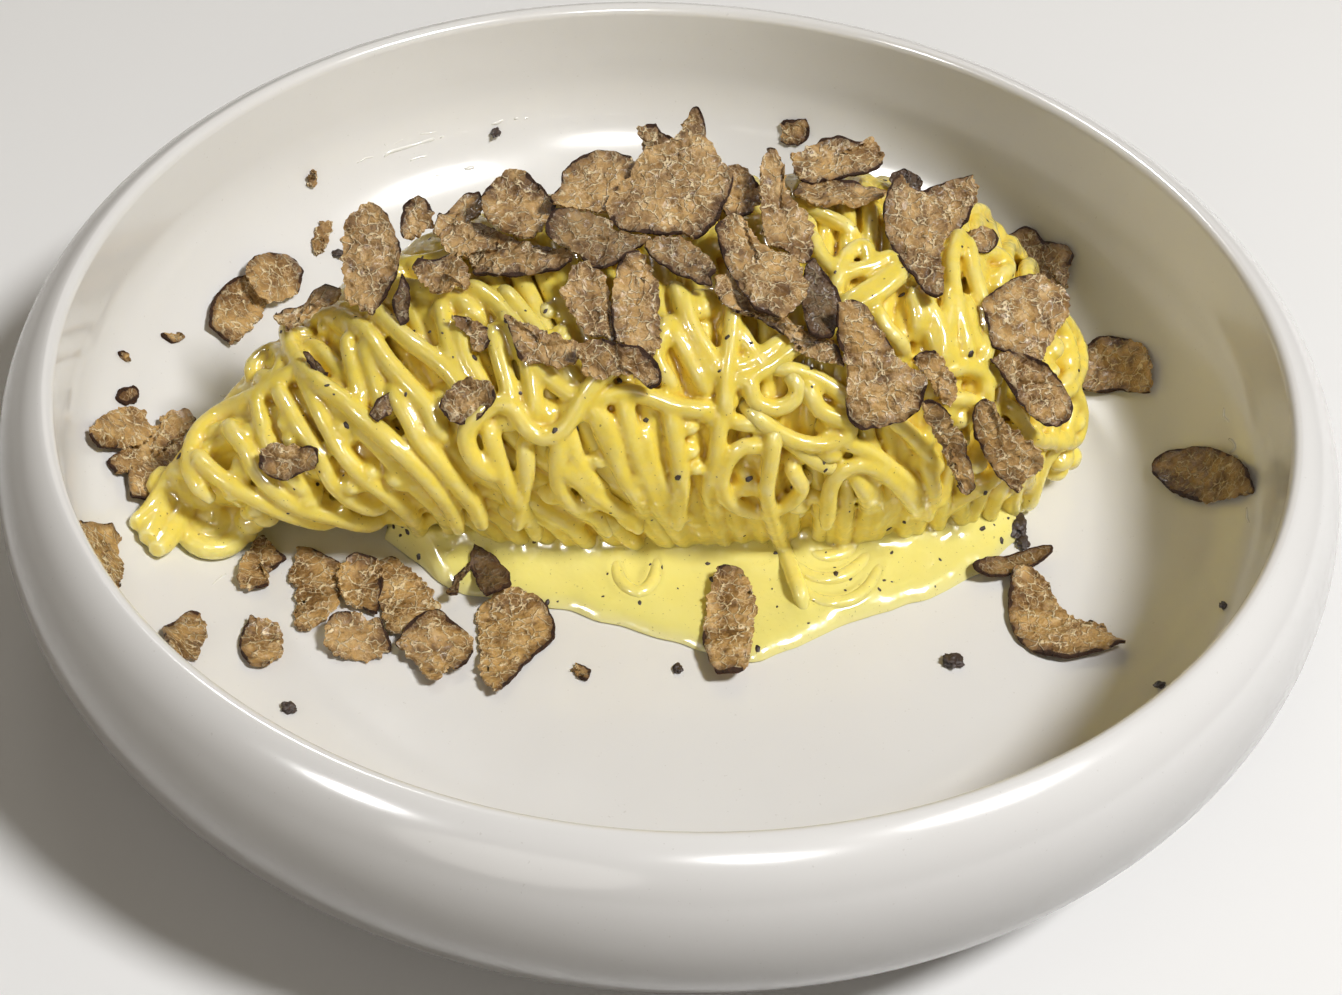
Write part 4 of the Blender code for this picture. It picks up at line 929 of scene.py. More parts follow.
def bowl_surface(x, y):
    """Point on the inside of the bowl and the direction out of its surface."""
    radius = math.hypot(x, y)
    if radius <= FLOOR_RADIUS:
        return Vector((x, y, FLOOR)), Vector((0, 0, 1))
    reach = WALL_RADIUS - FLOOR_RADIUS
    part = min(STEEPEST_WALL, (radius - FLOOR_RADIUS) / reach)
    drop = math.sqrt(1 - part * part)
    height = FLOOR + WALL_RISE * (1 - drop)
    slope = WALL_RISE * part / (reach * drop)
    normal = Vector((-slope * x / radius, -slope * y / radius, 1)).normalized()
    return Vector((x, y, height)), normal


def above_bowl(point, clearance):
    """The point, raised where it would be nearer to the bowl than the clearance."""
    under, normal = bowl_surface(point.x, point.y)
    return Vector((point.x, point.y, max(point.z, under.z + clearance / normal.z)))


# Heap of noodles

def heap_half_width(x):
    part = min(1.0, max(0.0, (x - HEAP_LEFT) / HEAP_SPAN))
    left = (1 - (1 - min(1.0, part / LEFT_TAPER)) ** LEFT_BULGE) ** LEFT_BLUNT
    past = max(0.0, x - ROUND_START) / (HEAP_RIGHT - ROUND_START)
    right = max(0.0, 1 - past ** 2) ** ROUND_BLUNT
    return HEAP_HALF_WIDTH * left * right


def heap_middle(x):
    along = x - HEAP_LEFT
    swing = MIDDLE_SWING * (1 - math.exp(-along / MIDDLE_REACH))
    return MIDDLE_START + swing + MIDDLE_SLOPE * along


def heap_base(x):
    """The height that the heap stands on, which rises where its ends meet the bowl's wall."""
    rise = bowl_surface(x, heap_middle(x))[0].z - FLOOR
    return FLOOR + rise + min(TIP_LIFT, rise)


def heap_surface(x, angle):
    """Point on the heap and the direction out of it. Angle 0 is its front, 90 its top."""
    half = heap_half_width(x)
    tall = HEAP_HEIGHT_RATIO * half
    middle = heap_base(x) + HEAP_LIFT_RATIO * tall
    across = math.cos(math.radians(angle))
    up = math.sin(math.radians(angle))
    point = Vector((x, heap_middle(x) - half * across, middle + tall * up))
    normal = Vector((0, -across / HEAP_HALF_WIDTH, up / (HEAP_HALF_WIDTH * HEAP_HEIGHT_RATIO)))
    return point, normal.normalized()


def heap_core(left, right, depth=CORE_DEPTH, closing=8):
    """A closed stretch of the heap, depth under its outline."""
    deselect_all()
    bpy.ops.mesh.primitive_uv_sphere_add(segments=48, ring_count=40, radius=1)
    core = bpy.context.object
    middle = (left + right) / 2
    for vertex in core.data.vertices:
        end = vertex.co.z
        x = middle + (right - left) / 2 * end
        blunt = math.sqrt(max(0.0, 1 - end ** closing))
        angle = math.atan2(vertex.co.y, -vertex.co.x)
        half = max(0.05, heap_half_width(x) - depth) * blunt
        tall = max(0.04, HEAP_HEIGHT_RATIO * heap_half_width(x) - depth) * blunt
        base = heap_base(x) + HEAP_LIFT_RATIO * HEAP_HEIGHT_RATIO * heap_half_width(x)
        point = Vector((x, heap_middle(x) - half * math.cos(angle), base + tall * math.sin(angle)))
        vertex.co = above_bowl(point, CORE_CLEARANCE) * MM
    return tidied(core)


def span(value, low, high):
    """0 below low, 1 above high and even between them."""
    return min(1.0, max(0.0, (value - low) / (high - low)))


def strand_slant(x):
    """How far a strand runs to the right while it turns a quarter of the way round."""
    return 27 - 10 * span(x, -50, -15) - 23 * span(x, -20, 60)


def eased(x, low, high):
    """Keeps x near the range, and strands that leave it apart from each other."""
    return x + 0.8 * (max(0.0, low - x) - max(0.0, x - high))


def drift(seed, part):
    """A smooth wander from -1 to 1 that is different for every seed."""
    return noise.noise(Vector((seed * 7.31, part * 2.2, seed * 1.7))) * 1.6


def wound_strand(x, seed, depth, start=LAYER_START, end=LAYER_END, stray=0.0):
    """One strand over the heap, from the sauce in front to the floor behind."""
    points = []
    slant = strand_slant(x)
    steps = max(8, int((end - start) / STRAND_STEP))
    for k in range(steps + 1):
        part = k / steps
        angle = start + (end - start) * part
        bundle = 3.6 * noise.noise(Vector((x / 26, angle / 50, 4.2)))
        foot = 12 * span(35, angle, angle + 60) ** 2 * span(-x, 20, 50)
        place = x + slant * (90 - angle) / 90 + bundle + foot + stray * (part - 0.5)
        place += 1.7 * drift(seed, part * 1.6)
        place = eased(place, HEAP_LEFT + LEFT_MARGIN, HEAP_RIGHT - RIGHT_MARGIN)
        point, normal = heap_surface(place, angle)
        sunk = NOODLE_RADIUS + depth + FRONT_DEPTH * (1 - span(angle, 70, 110))
        sunk += 0.75 * drift(seed + 0.37, part * 2.4)
        ends = END_SINK * max(0.0, 1 - (1 - part) * steps / END_STEPS)
        if start > 0:
            ends += END_SINK * max(0.0, 1 - part * steps / END_STEPS)
        point -= normal * min(max(NOODLE_RADIUS, sunk + ends), heap_half_width(place) * 0.75)
        low = span(-angle, 10, 50) * span(place, -48, -30)
        point -= Vector((0, FOOT_SPREAD, FOOT_DROP)) * low
        point = above_bowl(point, NOODLE_RADIUS + CLEARANCE)
        if not points or (point - points[-1]).length > 0.7:
            points.append(point)
    return points


def smooth_path(points, spacing):
    """A Catmull-Rom curve through given points."""
    ends = [2 * points[0] - points[1], *points, 2 * points[-1] - points[-2]]
    path = []
    for k in range(len(points) - 1):
        before, start, end, after = ends[k:k + 4]
        count = max(1, round((end - start).length / spacing))
        for step in range(count):
            t = step / count
            path.append(0.5 * (2 * start + (end - before) * t
                               + (2 * before - 5 * start + 4 * end - after) * t ** 2
                               + (3 * start - before - 3 * end + after) * t ** 3))
    return path + [points[-1]]


def traced_strand(height, pixels, outline):
    """A strand that lies on the heap, or on the sauce beside it, where the picture shows it."""
    points, normals = [], []
    for x, y in pixels:
        place, ray = sight(x, y)
        for lower in range(0, SEARCH_PIXELS, 4):
            normal, _, away = outline.ray_cast(place, sight(x, y + lower)[1])[1:]
            if away:
                point = (place + ray * away) / MM + normal * (height - NOODLE_RADIUS)
                break
        else:
            normal = Vector((0, 0, 1))
            point = (place + ray * ((SAUCE_TOP * MM - place.z) / ray.z)) / MM
            point += normal * (height + POOL_LIFT - NOODLE_RADIUS)
        points.append(above_bowl(point, NOODLE_RADIUS + CLEARANCE))
        normals.append(normal)
    for end, inner in ((0, 1), (-1, -2)):
        way = (points[end] - points[inner]).normalized()
        in_sauce = normals[end].z < -0.2 and points[end].x > SAUCE_LEFT
        inward = Vector((0, 0, 1)) if in_sauce else normals[end]
        tail = points[end] + way * 3.5 - inward * 3.2
        tail = above_bowl(tail, NOODLE_RADIUS + CLEARANCE)
        points = [tail] + points if end == 0 else points + [tail]
        normals = [normals[end]] + normals if end == 0 else normals + [normals[end]]
    return smooth_path(points, TRACED_STEP)


def seen_over_bowl(x, y, height):
    """The point that a pixel shows at a height over the bowl's surface."""
    place, ray = sight(x, y)
    point = place / MM + ray * ((HEAP_TOP - place.z / MM) / ray.z)
    while point.z > bowl_surface(point.x, point.y)[0].z + height:
        point += ray * 0.25
    return point


def tubes(name, paths, radius):
    """Round strands of slightly uneven thickness, in one mesh."""
    curve = bpy.data.curves.new(name, "CURVE")
    curve.dimensions = "3D"
    curve.bevel_depth = radius * MM
    curve.bevel_resolution = 3
    curve.use_fill_caps = True
    for number, path in enumerate(paths):
        spline = curve.splines.new("POLY")
        spline.points.add(len(path) - 1)
        for k, (stop, point) in enumerate(zip(spline.points, path)):
            near_end = min(k, len(path) - 1 - k)
            stop.co = (*(point * MM), 1)
            stop.radius = 0.97 + 0.07 * drift(number + 0.5, k / 18)
            stop.radius *= 1 + LEFT_THICKER * span(-point.x, -20, 50)
            stop.radius *= min(1.0, 0.62 + 0.2 * near_end)
    item = bpy.data.objects.new(name, curve)
    bpy.context.scene.collection.objects.link(item)
    pick(item)
    bpy.ops.object.convert(target="MESH")
    return tidied(item)


def sauce_blobs(left, right, count, seed):
    """Lumps of sauce that fill some of the grooves between strands, more of them low down."""
    draw = random.Random(seed)
    deselect_all()
    bpy.ops.mesh.primitive_ico_sphere_add(subdivisions=2, radius=MM)
    lump = bpy.context.object
    lumps = []
    for _ in range(count):
        x = draw.uniform(left, right)
        angle = -40 + 170 * draw.random() ** 1.5
        size = draw.uniform(1.6, 3.4)
        point, normal = heap_surface(x, angle)
        point = above_bowl(point - normal * (size * 0.55 + draw.uniform(1.3, 2.4)), 1.5)
        twin = copied(lump, "lump")
        places = positions(twin) * np.array((size, size * 1.2, size * 0.8)) + np.array(point * MM)
        set_positions(twin, places)
        lumps.append(twin)
    bpy.data.objects.remove(lump)
    return joined(lumps, "lumps")


def neighbour_mean(item, values, rounds):
    """Values averaged over neighbouring vertices, several times."""
    edges = np.empty(len(item.data.edges) * 2, dtype=np.int64)
    item.data.edges.foreach_get("vertices", edges)
    edges = edges.reshape(-1, 2)
    count = np.bincount(edges.reshape(-1), minlength=len(values)).astype(float)
    count = np.maximum(count, 1)[:, None]
    for _ in range(rounds):
        total = np.empty_like(values)
        for axis in range(values.shape[1]):
            total[:, axis] = np.bincount(edges[:, 0], values[edges[:, 1], axis], len(values))
            total[:, axis] += np.bincount(edges[:, 1], values[edges[:, 0], axis], len(values))
        values = 0.4 * values + 0.6 * total / count
    return values


def write_hollows(item):
    """How far each vertex lies in a groove, in millimetres, and how low it lies on the heap."""
    places = positions(item)
    normals = np.empty(len(places) * 3)
    item.data.vertices.foreach_get("normal", normals)
    smooth = neighbour_mean(item, places.copy(), HOLLOW_ROUNDS)
    hollow = ((smooth - places) * normals.reshape(-1, 3)).sum(1) / MM
    write_attribute(item, "hollow", hollow)
    low = np.clip(1 - (places[:, 2] / MM - SAUCE_TOP) / LOW_REACH, 0, 1)
    write_attribute(item, "low", low)


def stretch_at(x):
    """The name of the piece that holds the strands at x."""
    return next(name for name, (low, high) in STRETCHES.items() if x < high)


def strand_paths():
    """The paths of the heap's strands, by the name of their stretch."""
    draw = random.Random(11)
    paths = {name: [] for name in STRETCHES}
    for layer, depth in enumerate(LAYERS):
        x = HEAP_LEFT + 9 + layer * LAYER_PITCH / 2
        while x < HEAP_RIGHT - RIGHT_MARGIN:
            seed = x + 40 * layer
            strand = wound_strand(x, seed, depth + 0.5 * drift(seed, 9.1))
            paths[stretch_at(x)].append(strand)
            x += LAYER_PITCH * draw.uniform(0.85, 1.15)
    for number in range(LOOSE_STRANDS):
        x = HEAP_LEFT + 16 + (HEAP_SPAN - 34) * (number + draw.random()) / LOOSE_STRANDS
        start = draw.uniform(84, 110)
        end = start + draw.uniform(60, 120)
        stray = draw.uniform(-16, 16) if x > -30 else draw.uniform(-8, 8)
        paths[stretch_at(x)].append(wound_strand(x, 200 + number, 0.1, start, end, stray))
    outline = heap_core(HEAP_LEFT, HEAP_RIGHT, 0.0, 60)
    tree = tree_of(outline)
    bpy.data.objects.remove(outline)
    for height, pixels in PICTURE_STRANDS:
        path = traced_strand(height, pixels, tree)
        paths[stretch_at(path[len(path) // 2].x)].append(path)
    return paths


def tip_strands():
    """The strands of the low tip, which lie on the bowl."""
    strands = []
    for radius, stops in TIP_STRANDS:
        path = smooth_path([seen_over_bowl(*stop) for stop in stops], TRACED_STEP)
        path = [above_bowl(point, radius + CLEARANCE) for point in path]
        strands.append(tubes("tip", [path], radius))
    return strands


def make_noodles(material):
    paths = strand_paths()
    pieces = []
    for number, (name, (low, high)) in enumerate(STRETCHES.items()):
        parts = [tubes(name, paths[name], NOODLE_RADIUS)]
        if name == "noodles_left":
            parts += tip_strands()
        left = max(low - STRETCH_OVERLAP, HEAP_LEFT + 5)
        right = min(high + STRETCH_OVERLAP, HEAP_RIGHT - 5)
        parts.append(heap_core(left, right))
        parts.append(sauce_blobs(max(low, HEAP_LEFT + 20), min(high, HEAP_RIGHT) - 6, BLOBS, number))
        piece = joined(parts, name)
        modified(piece, "REMESH", mode="VOXEL", voxel_size=WEB_VOXEL * MM, adaptivity=0)
        modified(piece, "SMOOTH", factor=0.5, iterations=3)
        write_hollows(piece)
        smoothed(piece)
        pieces.append(finished(piece, material, "creamy_noodle", "noodles"))
    return pieces


# Sauce

def pool_front(x):
    for (x0, y0), (x1, y1) in zip(POOL_FRONT, POOL_FRONT[1:]):
        if x <= x1:
            part = (x - x0) / (x1 - x0)
            return y0 + (y1 - y0) * part
    return POOL_FRONT[-1][1]


def soft_pool_front(x):
    """The pool's front with its corners rounded and small waves in it."""
    reach = 2.5
    mean = (pool_front(x - reach) + 2 * pool_front(x) + pool_front(x + reach)) / 4
    return mean + 0.8 * noise.noise(Vector((x / 5, 3.3, 0)))


def make_sauce(material, noodles):
    """A fine sheet over the bowl's floor that thins to an edge, and climbs the strands in it."""
    trees = [tree_of(piece) for piece in noodles]
    deselect_all()
    bpy.ops.mesh.primitive_grid_add(x_subdivisions=250, y_subdivisions=90, size=1)
    sauce = bpy.context.object
    left, right = POOL_FRONT[0][0] - 1.5, POOL_FRONT[-1][0] + 2.0
    places = positions(sauce)
    thin = []
    for place in places:
        x = left + (right - left) * (place[0] + 0.5)
        back = heap_middle(x) - 0.45 * heap_half_width(x)
        front = min(soft_pool_front(x), back - 2)
        part = (place[1] + 0.5) ** 1.25
        y = front + (back - front) * part
        edge = min((y - front), (x - left) * 0.8, (right - x) * 0.8)
        rise = (1 - (1 - min(1.0, max(0.0, edge) / EDGE_REACH)) ** 2) ** 0.75
        wave = 0.3 * noise.noise(Vector((x / 7, y / 7, 0.4))) * rise
        full = (SAUCE_TOP - FLOOR - SAUCE_EDGE) * rise * (0.86 + 0.14 * min(1, edge / 12))
        level = SAUCE_EDGE + full + wave
        foot = heap_middle(x) - FOOT_RATIO * heap_half_width(x)
        foot += 3.5 * noise.noise(Vector((x / 8, 7.7, 0)))
        level += CLIMB * math.exp(-max(0.0, foot - y) / CLIMB_REACH) * rise
        spot = Vector((x, y, FLOOR + level)) * MM
        gap = min(tree.find_nearest(spot)[3] for tree in trees) / MM
        level += WETTING * math.exp(-gap / WETTING_REACH) * rise
        place[:] = (x * MM, y * MM, (FLOOR + level) * MM)
        thin.append(1 - min(1.0, max(0.0, edge) / THIN_REACH))
    set_positions(sauce, places)
    write_attribute(sauce, "thin", thin)
    modified(sauce, "SMOOTH", factor=0.5, iterations=5)
    modified(sauce, "SOLIDIFY", thickness=SAUCE_SHEET * MM, offset=-1)
    sauce.name = sauce.data.name = "sauce_pool"
    smoothed(sauce, 70)
    return finished(sauce, material, "egg_sauce", "sauce")


# Truffle

def slice_frame(item, surface):
    """The slice's middle and its length, width and upward directions."""
    place, normal = surface
    place = place + VIEW_UP * item.rise
    normal = (normal * (1 - item.facing) + TO_EYE * item.facing).normalized()
    turn = math.radians(item.turn)
    seen = VIEW_RIGHT * math.cos(turn) + VIEW_UP * math.sin(turn)
    along = (seen - TO_EYE * (seen.dot(normal) / TO_EYE.dot(normal))).normalized()
    return place, along, normal.cross(along), normal


def slice_edge(item, number, turn):
    """The slice's edge in its own plane, and how far it was cut back there."""
    uneven = 1 + 0.05 * math.sin(2 * turn + number) + 0.04 * math.sin(3 * turn + 2.3 * number)
    across = math.cos(turn) * uneven
    up = math.sin(turn) * uneven
    torn = 0.0
    for cut, keep in item.cuts:
        reach = across * math.cos(math.radians(cut)) + up * math.sin(math.radians(cut))
        if reach > keep:
            across *= keep / reach
            up *= keep / reach
            torn = max(torn, reach / keep - 1)
    return across * item.length / 2, up * item.width / 2, torn


def corner_turns(item):
    """The directions of the corners of the slice's solid."""
    sides = 12 if item.length > 18 else 10 if item.length > 12.5 else 8
    return [math.pi / 2 - math.tau * k / sides for k in range(sides)]


def in_plane_shift(item, number, middle, along, wide, node):
    """How far the solid lies from its first place, along its length and its width."""
    corners = [slice_edge(item, number, turn)[:2] for turn in corner_turns(item)]
    shift = []
    for axis, direction in enumerate((along, wide)):
        expected = [corner[axis] for corner in corners]
        found = [(vertex.co / MM - middle).dot(direction) for vertex in node.data.vertices]
        shift.append((min(found) + max(found) - min(expected) - max(expected)) / 2)
    return shift


class Rest:
    """The smooth height of a slice over its own plane, from its solid's corners."""

    def __init__(self, item, number, frame_of, tree):
        place, along, wide, normal = frame_of
        self.item = item
        self.number = number
        self.turns = corner_turns(item)
        self.rings = []
        for out in (0.5, 0.97):
            heights = []
            for turn in self.turns:
                across, up, _ = slice_edge(item, number, turn)
                start = place + (along * across + wide * up) * out
                heights.append(self.drop(start, normal, tree))
            self.rings.append(heights)
        self.middle = self.drop(place, normal, tree)

    @staticmethod
    def drop(start, normal, tree):
        above = (start + normal * DROP_HEIGHT) * MM
        hit = tree.ray_cast(above, -normal, 2 * DROP_HEIGHT * MM)
        if hit[0]:
            return DROP_HEIGHT - hit[3] / MM
        near = tree.find_nearest(start * MM)[0] / MM
        return (near - start).dot(normal)

    def around(self, heights, turn):
        """A smooth periodic value between the corners."""
        count = len(heights)
        spot = (math.pi / 2 - turn) / math.tau * count
        first = math.floor(spot)
        t = spot - first
        a, b, c, d = (heights[(first + k) % count] for k in (-1, 0, 1, 2))
        return b + 0.5 * t * (c - a + t * (2 * a - 5 * b + 4 * c - d + t * (3 * (b - c) + d - a)))

    def height(self, across, up):
        """The height over the plane at a point of it."""
        item, number = self.item, self.number
        turn = math.atan2(up / item.width, across / item.length)
        full_across, full_up, _ = slice_edge(item, number, turn)
        out = min(1.2, math.hypot(across, up) / math.hypot(full_across, full_up))
        half, full = (self.around(ring, turn) for ring in self.rings)
        bend = 2 * (full - 2 * half + self.middle)
        slope = full - self.middle - bend
        return self.middle + slope * out + bend * out * out


def disc_template():
    """A round sheet with closer rings near its edge."""
    deselect_all()
    bpy.ops.mesh.primitive_circle_add(vertices=EDGE_STEPS, radius=1, fill_type="NGON")
    disc = bpy.context.object
    bpy.ops.object.mode_set(mode="EDIT")
    bpy.ops.mesh.select_all(action="SELECT")
    for width in [0.02, 0.03, 0.04, 0.05] + [0.07] * 11:
        bpy.ops.mesh.inset(thickness=width)
    bpy.ops.mesh.poke()
    bpy.ops.object.mode_set(mode="OBJECT")
    disc.name = "disc"
    return disc


def seen_outline(number, frame_of, height_at):
    """The corners of a shaving in its own plane, from their pixels, and whether rind starts there."""
    place, along, wide, normal = frame_of
    corners = []
    pixels = [(x, y, 1.0 - run % 2) for run, stops in enumerate(OUTLINES[number]) for x, y in stops]
    for x, y, rind in pixels:
        start, ray = sight(x, y)
        lift = 0.0
        for _ in range(3):
            over = place + normal * lift
            hit = start / MM + ray * ((over - start / MM).dot(normal) / ray.dot(normal))
            across, up = (hit - over).dot(along), (hit - over).dot(wide)
            lift = height_at(across, up)
        corners.append((across, up, rind))
    return corners


def plain_outline(item, number):
    """The corners of a shaving that is cut as its solid is."""
    corners = []
    for k in range(PLAIN_CORNERS):
        across, up, torn = slice_edge(item, number, math.tau * k / PLAIN_CORNERS)
        corners.append((across, up, 0.0 if torn > 0.02 else 1.0))
    return corners


def stepped_edge(corners, number):
    """The outline in EDGE_STEPS even steps, anticlockwise, softened, with rough torn sides."""
    sides = list(zip(corners, corners[1:] + corners[:1]))
    if sum(a[0] * b[1] - b[0] * a[1] for a, b in sides) < 0:
        sides = [((*b[:2], a[2]), (*a[:2], a[2])) for a, b in reversed(sides)]
    lengths = [math.dist(a[:2], b[:2]) for a, b in sides]
    step = sum(lengths) / EDGE_STEPS
    edge, side, passed = [], 0, 0.0
    for k in range(EDGE_STEPS):
        while k * step > passed + lengths[side] and side < len(sides) - 1:
            passed += lengths[side]
            side += 1
        start, end = sides[side]
        part = (k * step - passed) / max(lengths[side], 0.01)
        edge.append((start[0] + (end[0] - start[0]) * part, start[1] + (end[1] - start[1]) * part,
                     start[2]))
    edge = np.array(edge)
    for _ in range(3):
        edge = (np.roll(edge, 1, 0) + 2 * edge + np.roll(edge, -1, 0)) / 4
    outward = np.roll(edge, -1, 0)[:, :2] - np.roll(edge, 1, 0)[:, :2]
    outward = np.stack((outward[:, 1], -outward[:, 0]), 1)
    outward /= np.maximum(np.linalg.norm(outward, axis=1), 0.001)[:, None]
    for k, (across, up, rind) in enumerate(edge):
        spot = Vector((across, up, number * 3.1))
        rough = 0.5 * noise.noise(spot / 1.3) + 0.3 * noise.noise(spot / 0.55)
        rough -= 0.9 * max(0.0, noise.noise(spot / 2.1 + Vector((9, 0, 0))) - 0.22)
        fine = 0.22 * noise.noise(spot / 1.6) + 0.1 * noise.noise(spot / 0.6)
        edge[k, :2] += outward[k] * (rough * (1 - rind) * 1.3 + fine * rind)
    return edge


def shaped_slice(disc, number, frame_of, corners, height_at, name):
    """Lays a copy of the disc in the shaving's frame, with torn and rinded edges."""
    place, along, wide, normal = frame_of
    piece = copied(disc, name)
    edge = stepped_edge(corners, number)
    middle = edge[:, :2].mean(0)
    depths, rinds = [], []
    loose = 1.0 if number > len(BOWL_SLICES) else 0.5
    for vertex in piece.data.vertices:
        out = min(1.0, vertex.co.to_2d().length)
        turn = math.atan2(vertex.co.y, vertex.co.x) / math.tau * EDGE_STEPS
        across, up, rind = edge[round(turn) % EDGE_STEPS]
        size = math.hypot(across - middle[0], up - middle[1])
        across = middle[0] + (across - middle[0]) * out
        up = middle[1] + (up - middle[1]) * out
        spot = Vector((across, up, number * 5.3))
        crumple = noise.noise(spot / 6.0) * out + 0.7 * noise.noise(spot / 2.6)
        crumple += 0.25 * noise.noise(spot / 1.3)
        lift = height_at(across, up) + crumple * loose + SETTLED.get(number, SUNK)
        point = place + along * across + wide * up + normal * lift
        vertex.co = above_bowl(point, SLICE_THICKNESS + SLICE_CLEARANCE) * MM
        depths.append((1 - out) * size)
        rinds.append(rind)
    write_attribute(piece, "edge", depths)
    write_attribute(piece, "rind", rinds)
    write_attribute(piece, "dark", [DARK_TONE_AND_SHADE.get(number, 0.0)] * len(rinds))
    modified(piece, "SOLIDIFY", thickness=SLICE_THICKNESS * MM, offset=-1)
    return smoothed(piece, 55)


def flake_height(across, up):
    """A flake has no solid to lie on, so it is as high over its surface all over."""
    return FLAKE_LIFT


def shaving_corners(item, number, frame_of, height_at):
    if number in OUTLINES:
        return seen_outline(number, frame_of, height_at)
    return plain_outline(item, number)


def make_slices(material):
    disc = disc_template()
    pieces = []
    placed = [(item, bowl_surface(*item.place)) for item in BOWL_SLICES]
    placed += [(item, heap_surface(*item.place)) for item in HEAP_SLICES]
    for number, (item, surface) in enumerate(placed, 1):
        node_name = f"truffle_slice_{number:02d}"
        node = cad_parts[node_name]
        middle, along, wide, normal = slice_frame(item, surface)
        shift = in_plane_shift(item, number, middle, along, wide, node)
        frame_of = (middle + along * shift[0] + wide * shift[1], along, wide, normal)
        rest = Rest(item, number, frame_of, tree_of(node))
        corners = shaving_corners(item, number, frame_of, rest.height)
        piece = shaped_slice(disc, number, frame_of, corners, rest.height, f"shaving_{number:02d}")
        pieces.append(finished(piece, material, "truffle_flesh", node_name))
    flakes = []
    for number, item in enumerate(BOWL_FLAKES + HEAP_FLAKES, FIRST_FLAKE):
        on_bowl = item in BOWL_FLAKES
        surface = bowl_surface(*item.place) if on_bowl else heap_surface(*item.place)
        frame_of = slice_frame(item, surface)
        corners = shaving_corners(item, number, frame_of, flake_height)
        if number in PALE_FLAKES:
            corners = [(across, up, 0.0) for across, up, _ in corners]
        flakes.append(shaped_slice(disc, number, frame_of, corners, flake_height, "flake"))
    pieces.append(finished(joined(flakes, "truffle_flakes"), material, "truffle_flesh"))
    bpy.data.objects.remove(disc)
    return pieces


# Crumbs and specks

def make_crumbs(material):
    """Dark lumps of rind that lie in the bowl."""
    deselect_all()
    bpy.ops.mesh.primitive_ico_sphere_add(subdivisions=4, radius=0.5)
    lump = bpy.context.object
    crumbs = []
    for number, (x, y, size) in enumerate(CRUMBS):
        twin = copied(lump, "crumb")
        spot, normal = bowl_surface(x, y)
        for vertex in twin.data.vertices:
            rough = 1 + 0.5 * noise.noise(vertex.co * 3.2 + Vector((number, 0, 0)))
            rough += 0.22 * noise.noise(vertex.co * 8 + Vector((0, number, 0)))
            long = 1.15 if number % 2 else 0.85
            shape = Vector((vertex.co.x * long, vertex.co.y / long, vertex.co.z * 0.6)) * rough * size
            vertex.co = (spot + normal * size * 0.25 + shape) * MM
        crumbs.append(twin)
    bpy.data.objects.remove(lump)
    crumb = smoothed(joined(crumbs, "rind_crumbs"), 50)
    return finished(crumb, material, "truffle_flesh")


def make_drops(material):
    """Thin streaks and drops that lie half sunk in the glaze."""
    drops = []
    for radius, pixels in WET_STREAKS:
        path = smooth_path([seen_over_bowl(x, y, 0.05) for x, y in pixels], 0.5)
        drops.append(tubes("drop", [path], radius))
    return finished(smoothed(joined(drops, "wet_drops")), material, "egg_sauce")


def make_specks(hosts, material):
    """Flecks of pepper and truffle dust on the noodles and the sauce."""
    draw = random.Random(5)
    deselect_all()
    bpy.ops.mesh.primitive_ico_sphere_add(subdivisions=1, radius=0.5)
    fleck = bpy.context.object
    flecks = []
    for host, count in hosts:
        vertices = host.data.vertices
        made = 0
        while made < count:
            vertex = vertices[draw.randrange(len(vertices))]
            if vertex.normal.dot(TO_EYE) < 0.1 or vertex.co.z < (FLOOR + 1) * MM:
                continue
            size = draw.choice((0.45, 0.55, 0.7, 0.9, 1.2)) * MM
            twin = copied(fleck, "fleck")
            turn = Matrix.Rotation(draw.uniform(0, math.tau), 3, vertex.normal)
            tilt = vertex.normal.to_track_quat("Z", "Y").to_matrix()
            for corner in twin.data.vertices:
                shape = Vector((corner.co.x * 1.4, corner.co.y * 0.9, corner.co.z * 0.45)) * size
                shape *= 1 + 0.5 * noise.noise(corner.co * 4 + Vector((made, 0, 0)))
                corner.co = vertex.co + turn @ (tilt @ shape)
            flecks.append(twin)
            made += 1
    bpy.data.objects.remove(fleck)
    return finished(smoothed(joined(flecks, "pepper_specks"), 60), material, "truffle_flesh")


# Stage

def make_stage(material):
    deselect_all()
    bpy.ops.mesh.primitive_plane_add(size=6)
    floor = bpy.context.object
    floor.name = "floor"
    floor.data.materials.append(material)
    floor.visible_diffuse = False


def area_light(name, azimuth, elevation, distance, size, power, colour):
    """A soft lamp aimed at the bowl. Azimuth is from the right towards the back."""
    light = bpy.data.lights.new(name, "AREA")
    light.shape = "DISK"
    light.size = size
    light.energy = power
    light.color = colour
    lamp = bpy.data.objects.new(name, light)
    bpy.context.scene.collection.objects.link(lamp)
    turn, rise = math.radians(azimuth), math.radians(elevation)
    direction = Vector((math.cos(turn) * math.cos(rise), math.sin(turn) * math.cos(rise),
                        math.sin(rise)))
    lamp.location = direction * distance
    lamp.rotation_euler = direction.to_track_quat("Z", "Y").to_euler()
    return lamp


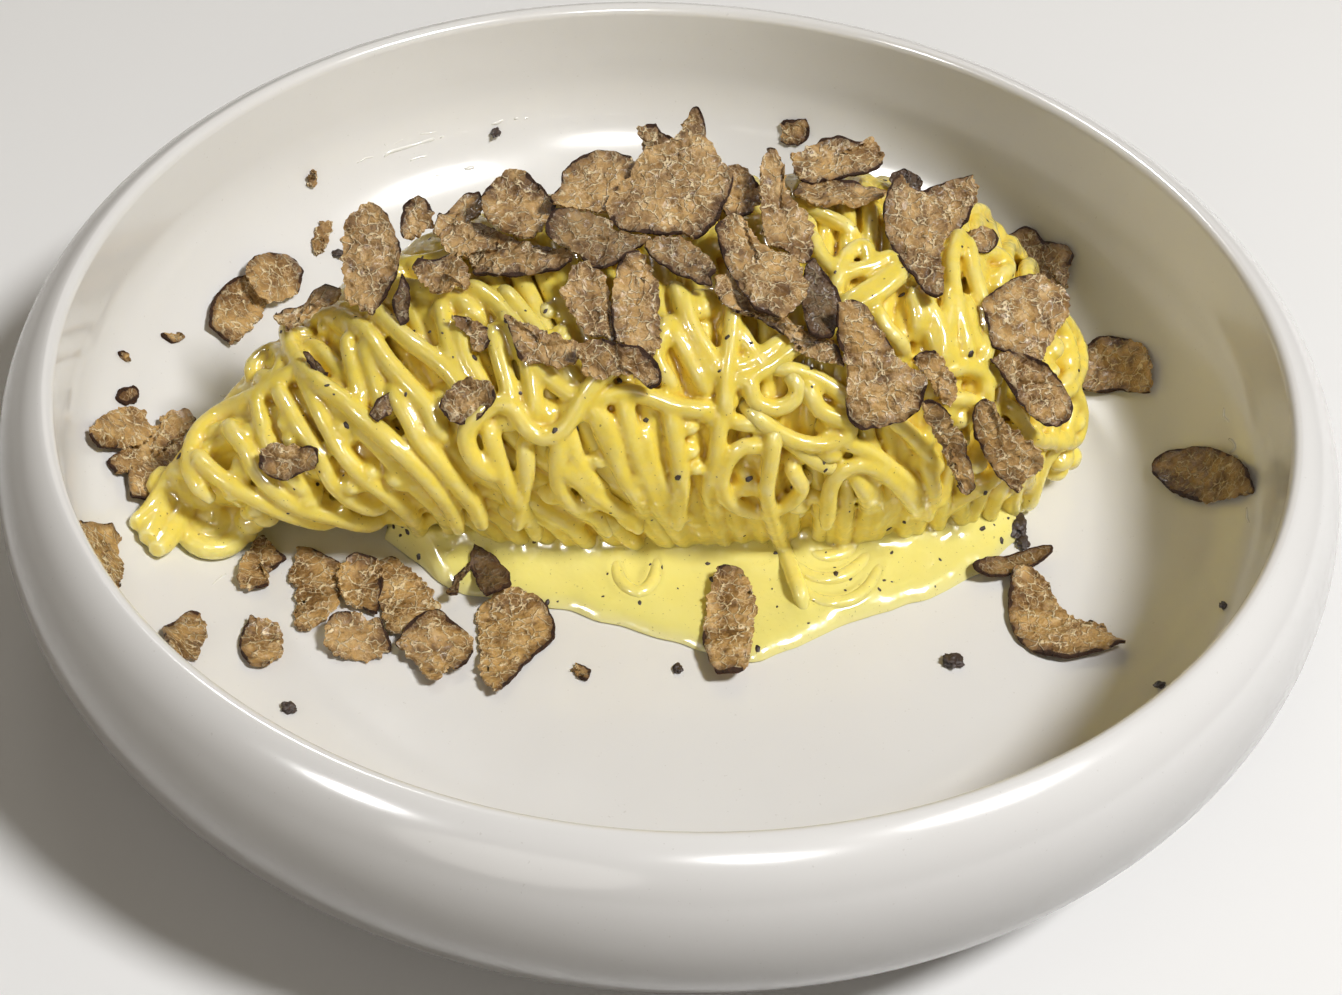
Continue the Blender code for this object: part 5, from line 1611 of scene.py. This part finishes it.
def make_lights():
    area_light("key", -20, 56, 1.5, 0.3, 20, (1.0, 0.995, 0.99))
    area_light("back_fill", 95, 28, 1.6, 0.9, 1.8, (1.0, 0.94, 0.82))
    area_light("front_fill", -108, 24, 1.5, 0.9, 3.4, (1.0, 0.96, 0.90))
    for name, azimuth, elevation in (("glint_front", -70, 52), ("glint_left", -140, 46),
                                     ("glint_back", 118, 58)):
        lamp = area_light(name, azimuth, elevation, 1.5, 0.24, 9, (1.0, 1.0, 1.0))
        lamp.visible_diffuse = False
    world = bpy.context.scene.world or bpy.data.worlds.new("world")
    bpy.context.scene.world = world
    world.use_nodes = True
    nodes, links = world.node_tree.nodes, world.node_tree.links
    direction = nodes.new("ShaderNodeTexCoord")
    height = nodes.new("ShaderNodeSeparateXYZ")
    dome = nodes.new("ShaderNodeValToRGB")
    dome.color_ramp.elements[0].position = 0.42
    dome.color_ramp.elements[0].color = (*BELOW_LIGHT, 1)
    dome.color_ramp.elements[1].position = 0.6
    dome.color_ramp.elements[1].color = (*ABOVE_LIGHT, 1)
    half = nodes.new("ShaderNodeMath")
    half.operation = "MULTIPLY_ADD"
    half.inputs[1].default_value = half.inputs[2].default_value = 0.5
    links.new(direction.outputs["Generated"], height.inputs[0])
    links.new(height.outputs["Z"], half.inputs[0])
    links.new(half.outputs[0], dome.inputs[0])
    links.new(dome.outputs[0], nodes["Background"].inputs["Color"])


def make_camera():
    place, turned, upright, away = camera_axes()
    camera = bpy.data.objects.new("camera", bpy.data.cameras.new("camera"))
    bpy.context.scene.collection.objects.link(camera)
    camera.matrix_world = (Matrix.Translation(place)
                           @ Matrix((turned, upright, away)).transposed().to_4x4())
    camera.data.sensor_width = SENSOR_WIDTH
    camera.data.lens = SENSOR_WIDTH * FOCAL_PIXELS / PICTURE_WIDTH
    camera.data.clip_start = 0.01
    bpy.context.scene.camera = camera


def main():
    make_camera()
    flesh, rind = truffle_finish(), crumb_finish()
    make_bowl(glaze_finish())
    noodles = make_noodles(noodle_finish())
    sauce = make_sauce(sauce_finish(), noodles)
    make_slices(flesh)
    make_crumbs(rind)
    make_drops(drop_finish())
    make_specks([(piece, 60) for piece in noodles] + [(sauce, 60)], rind)
    make_stage(floor_finish())
    make_lights()
    bpy.context.scene.view_settings.view_transform = "Standard"


main()
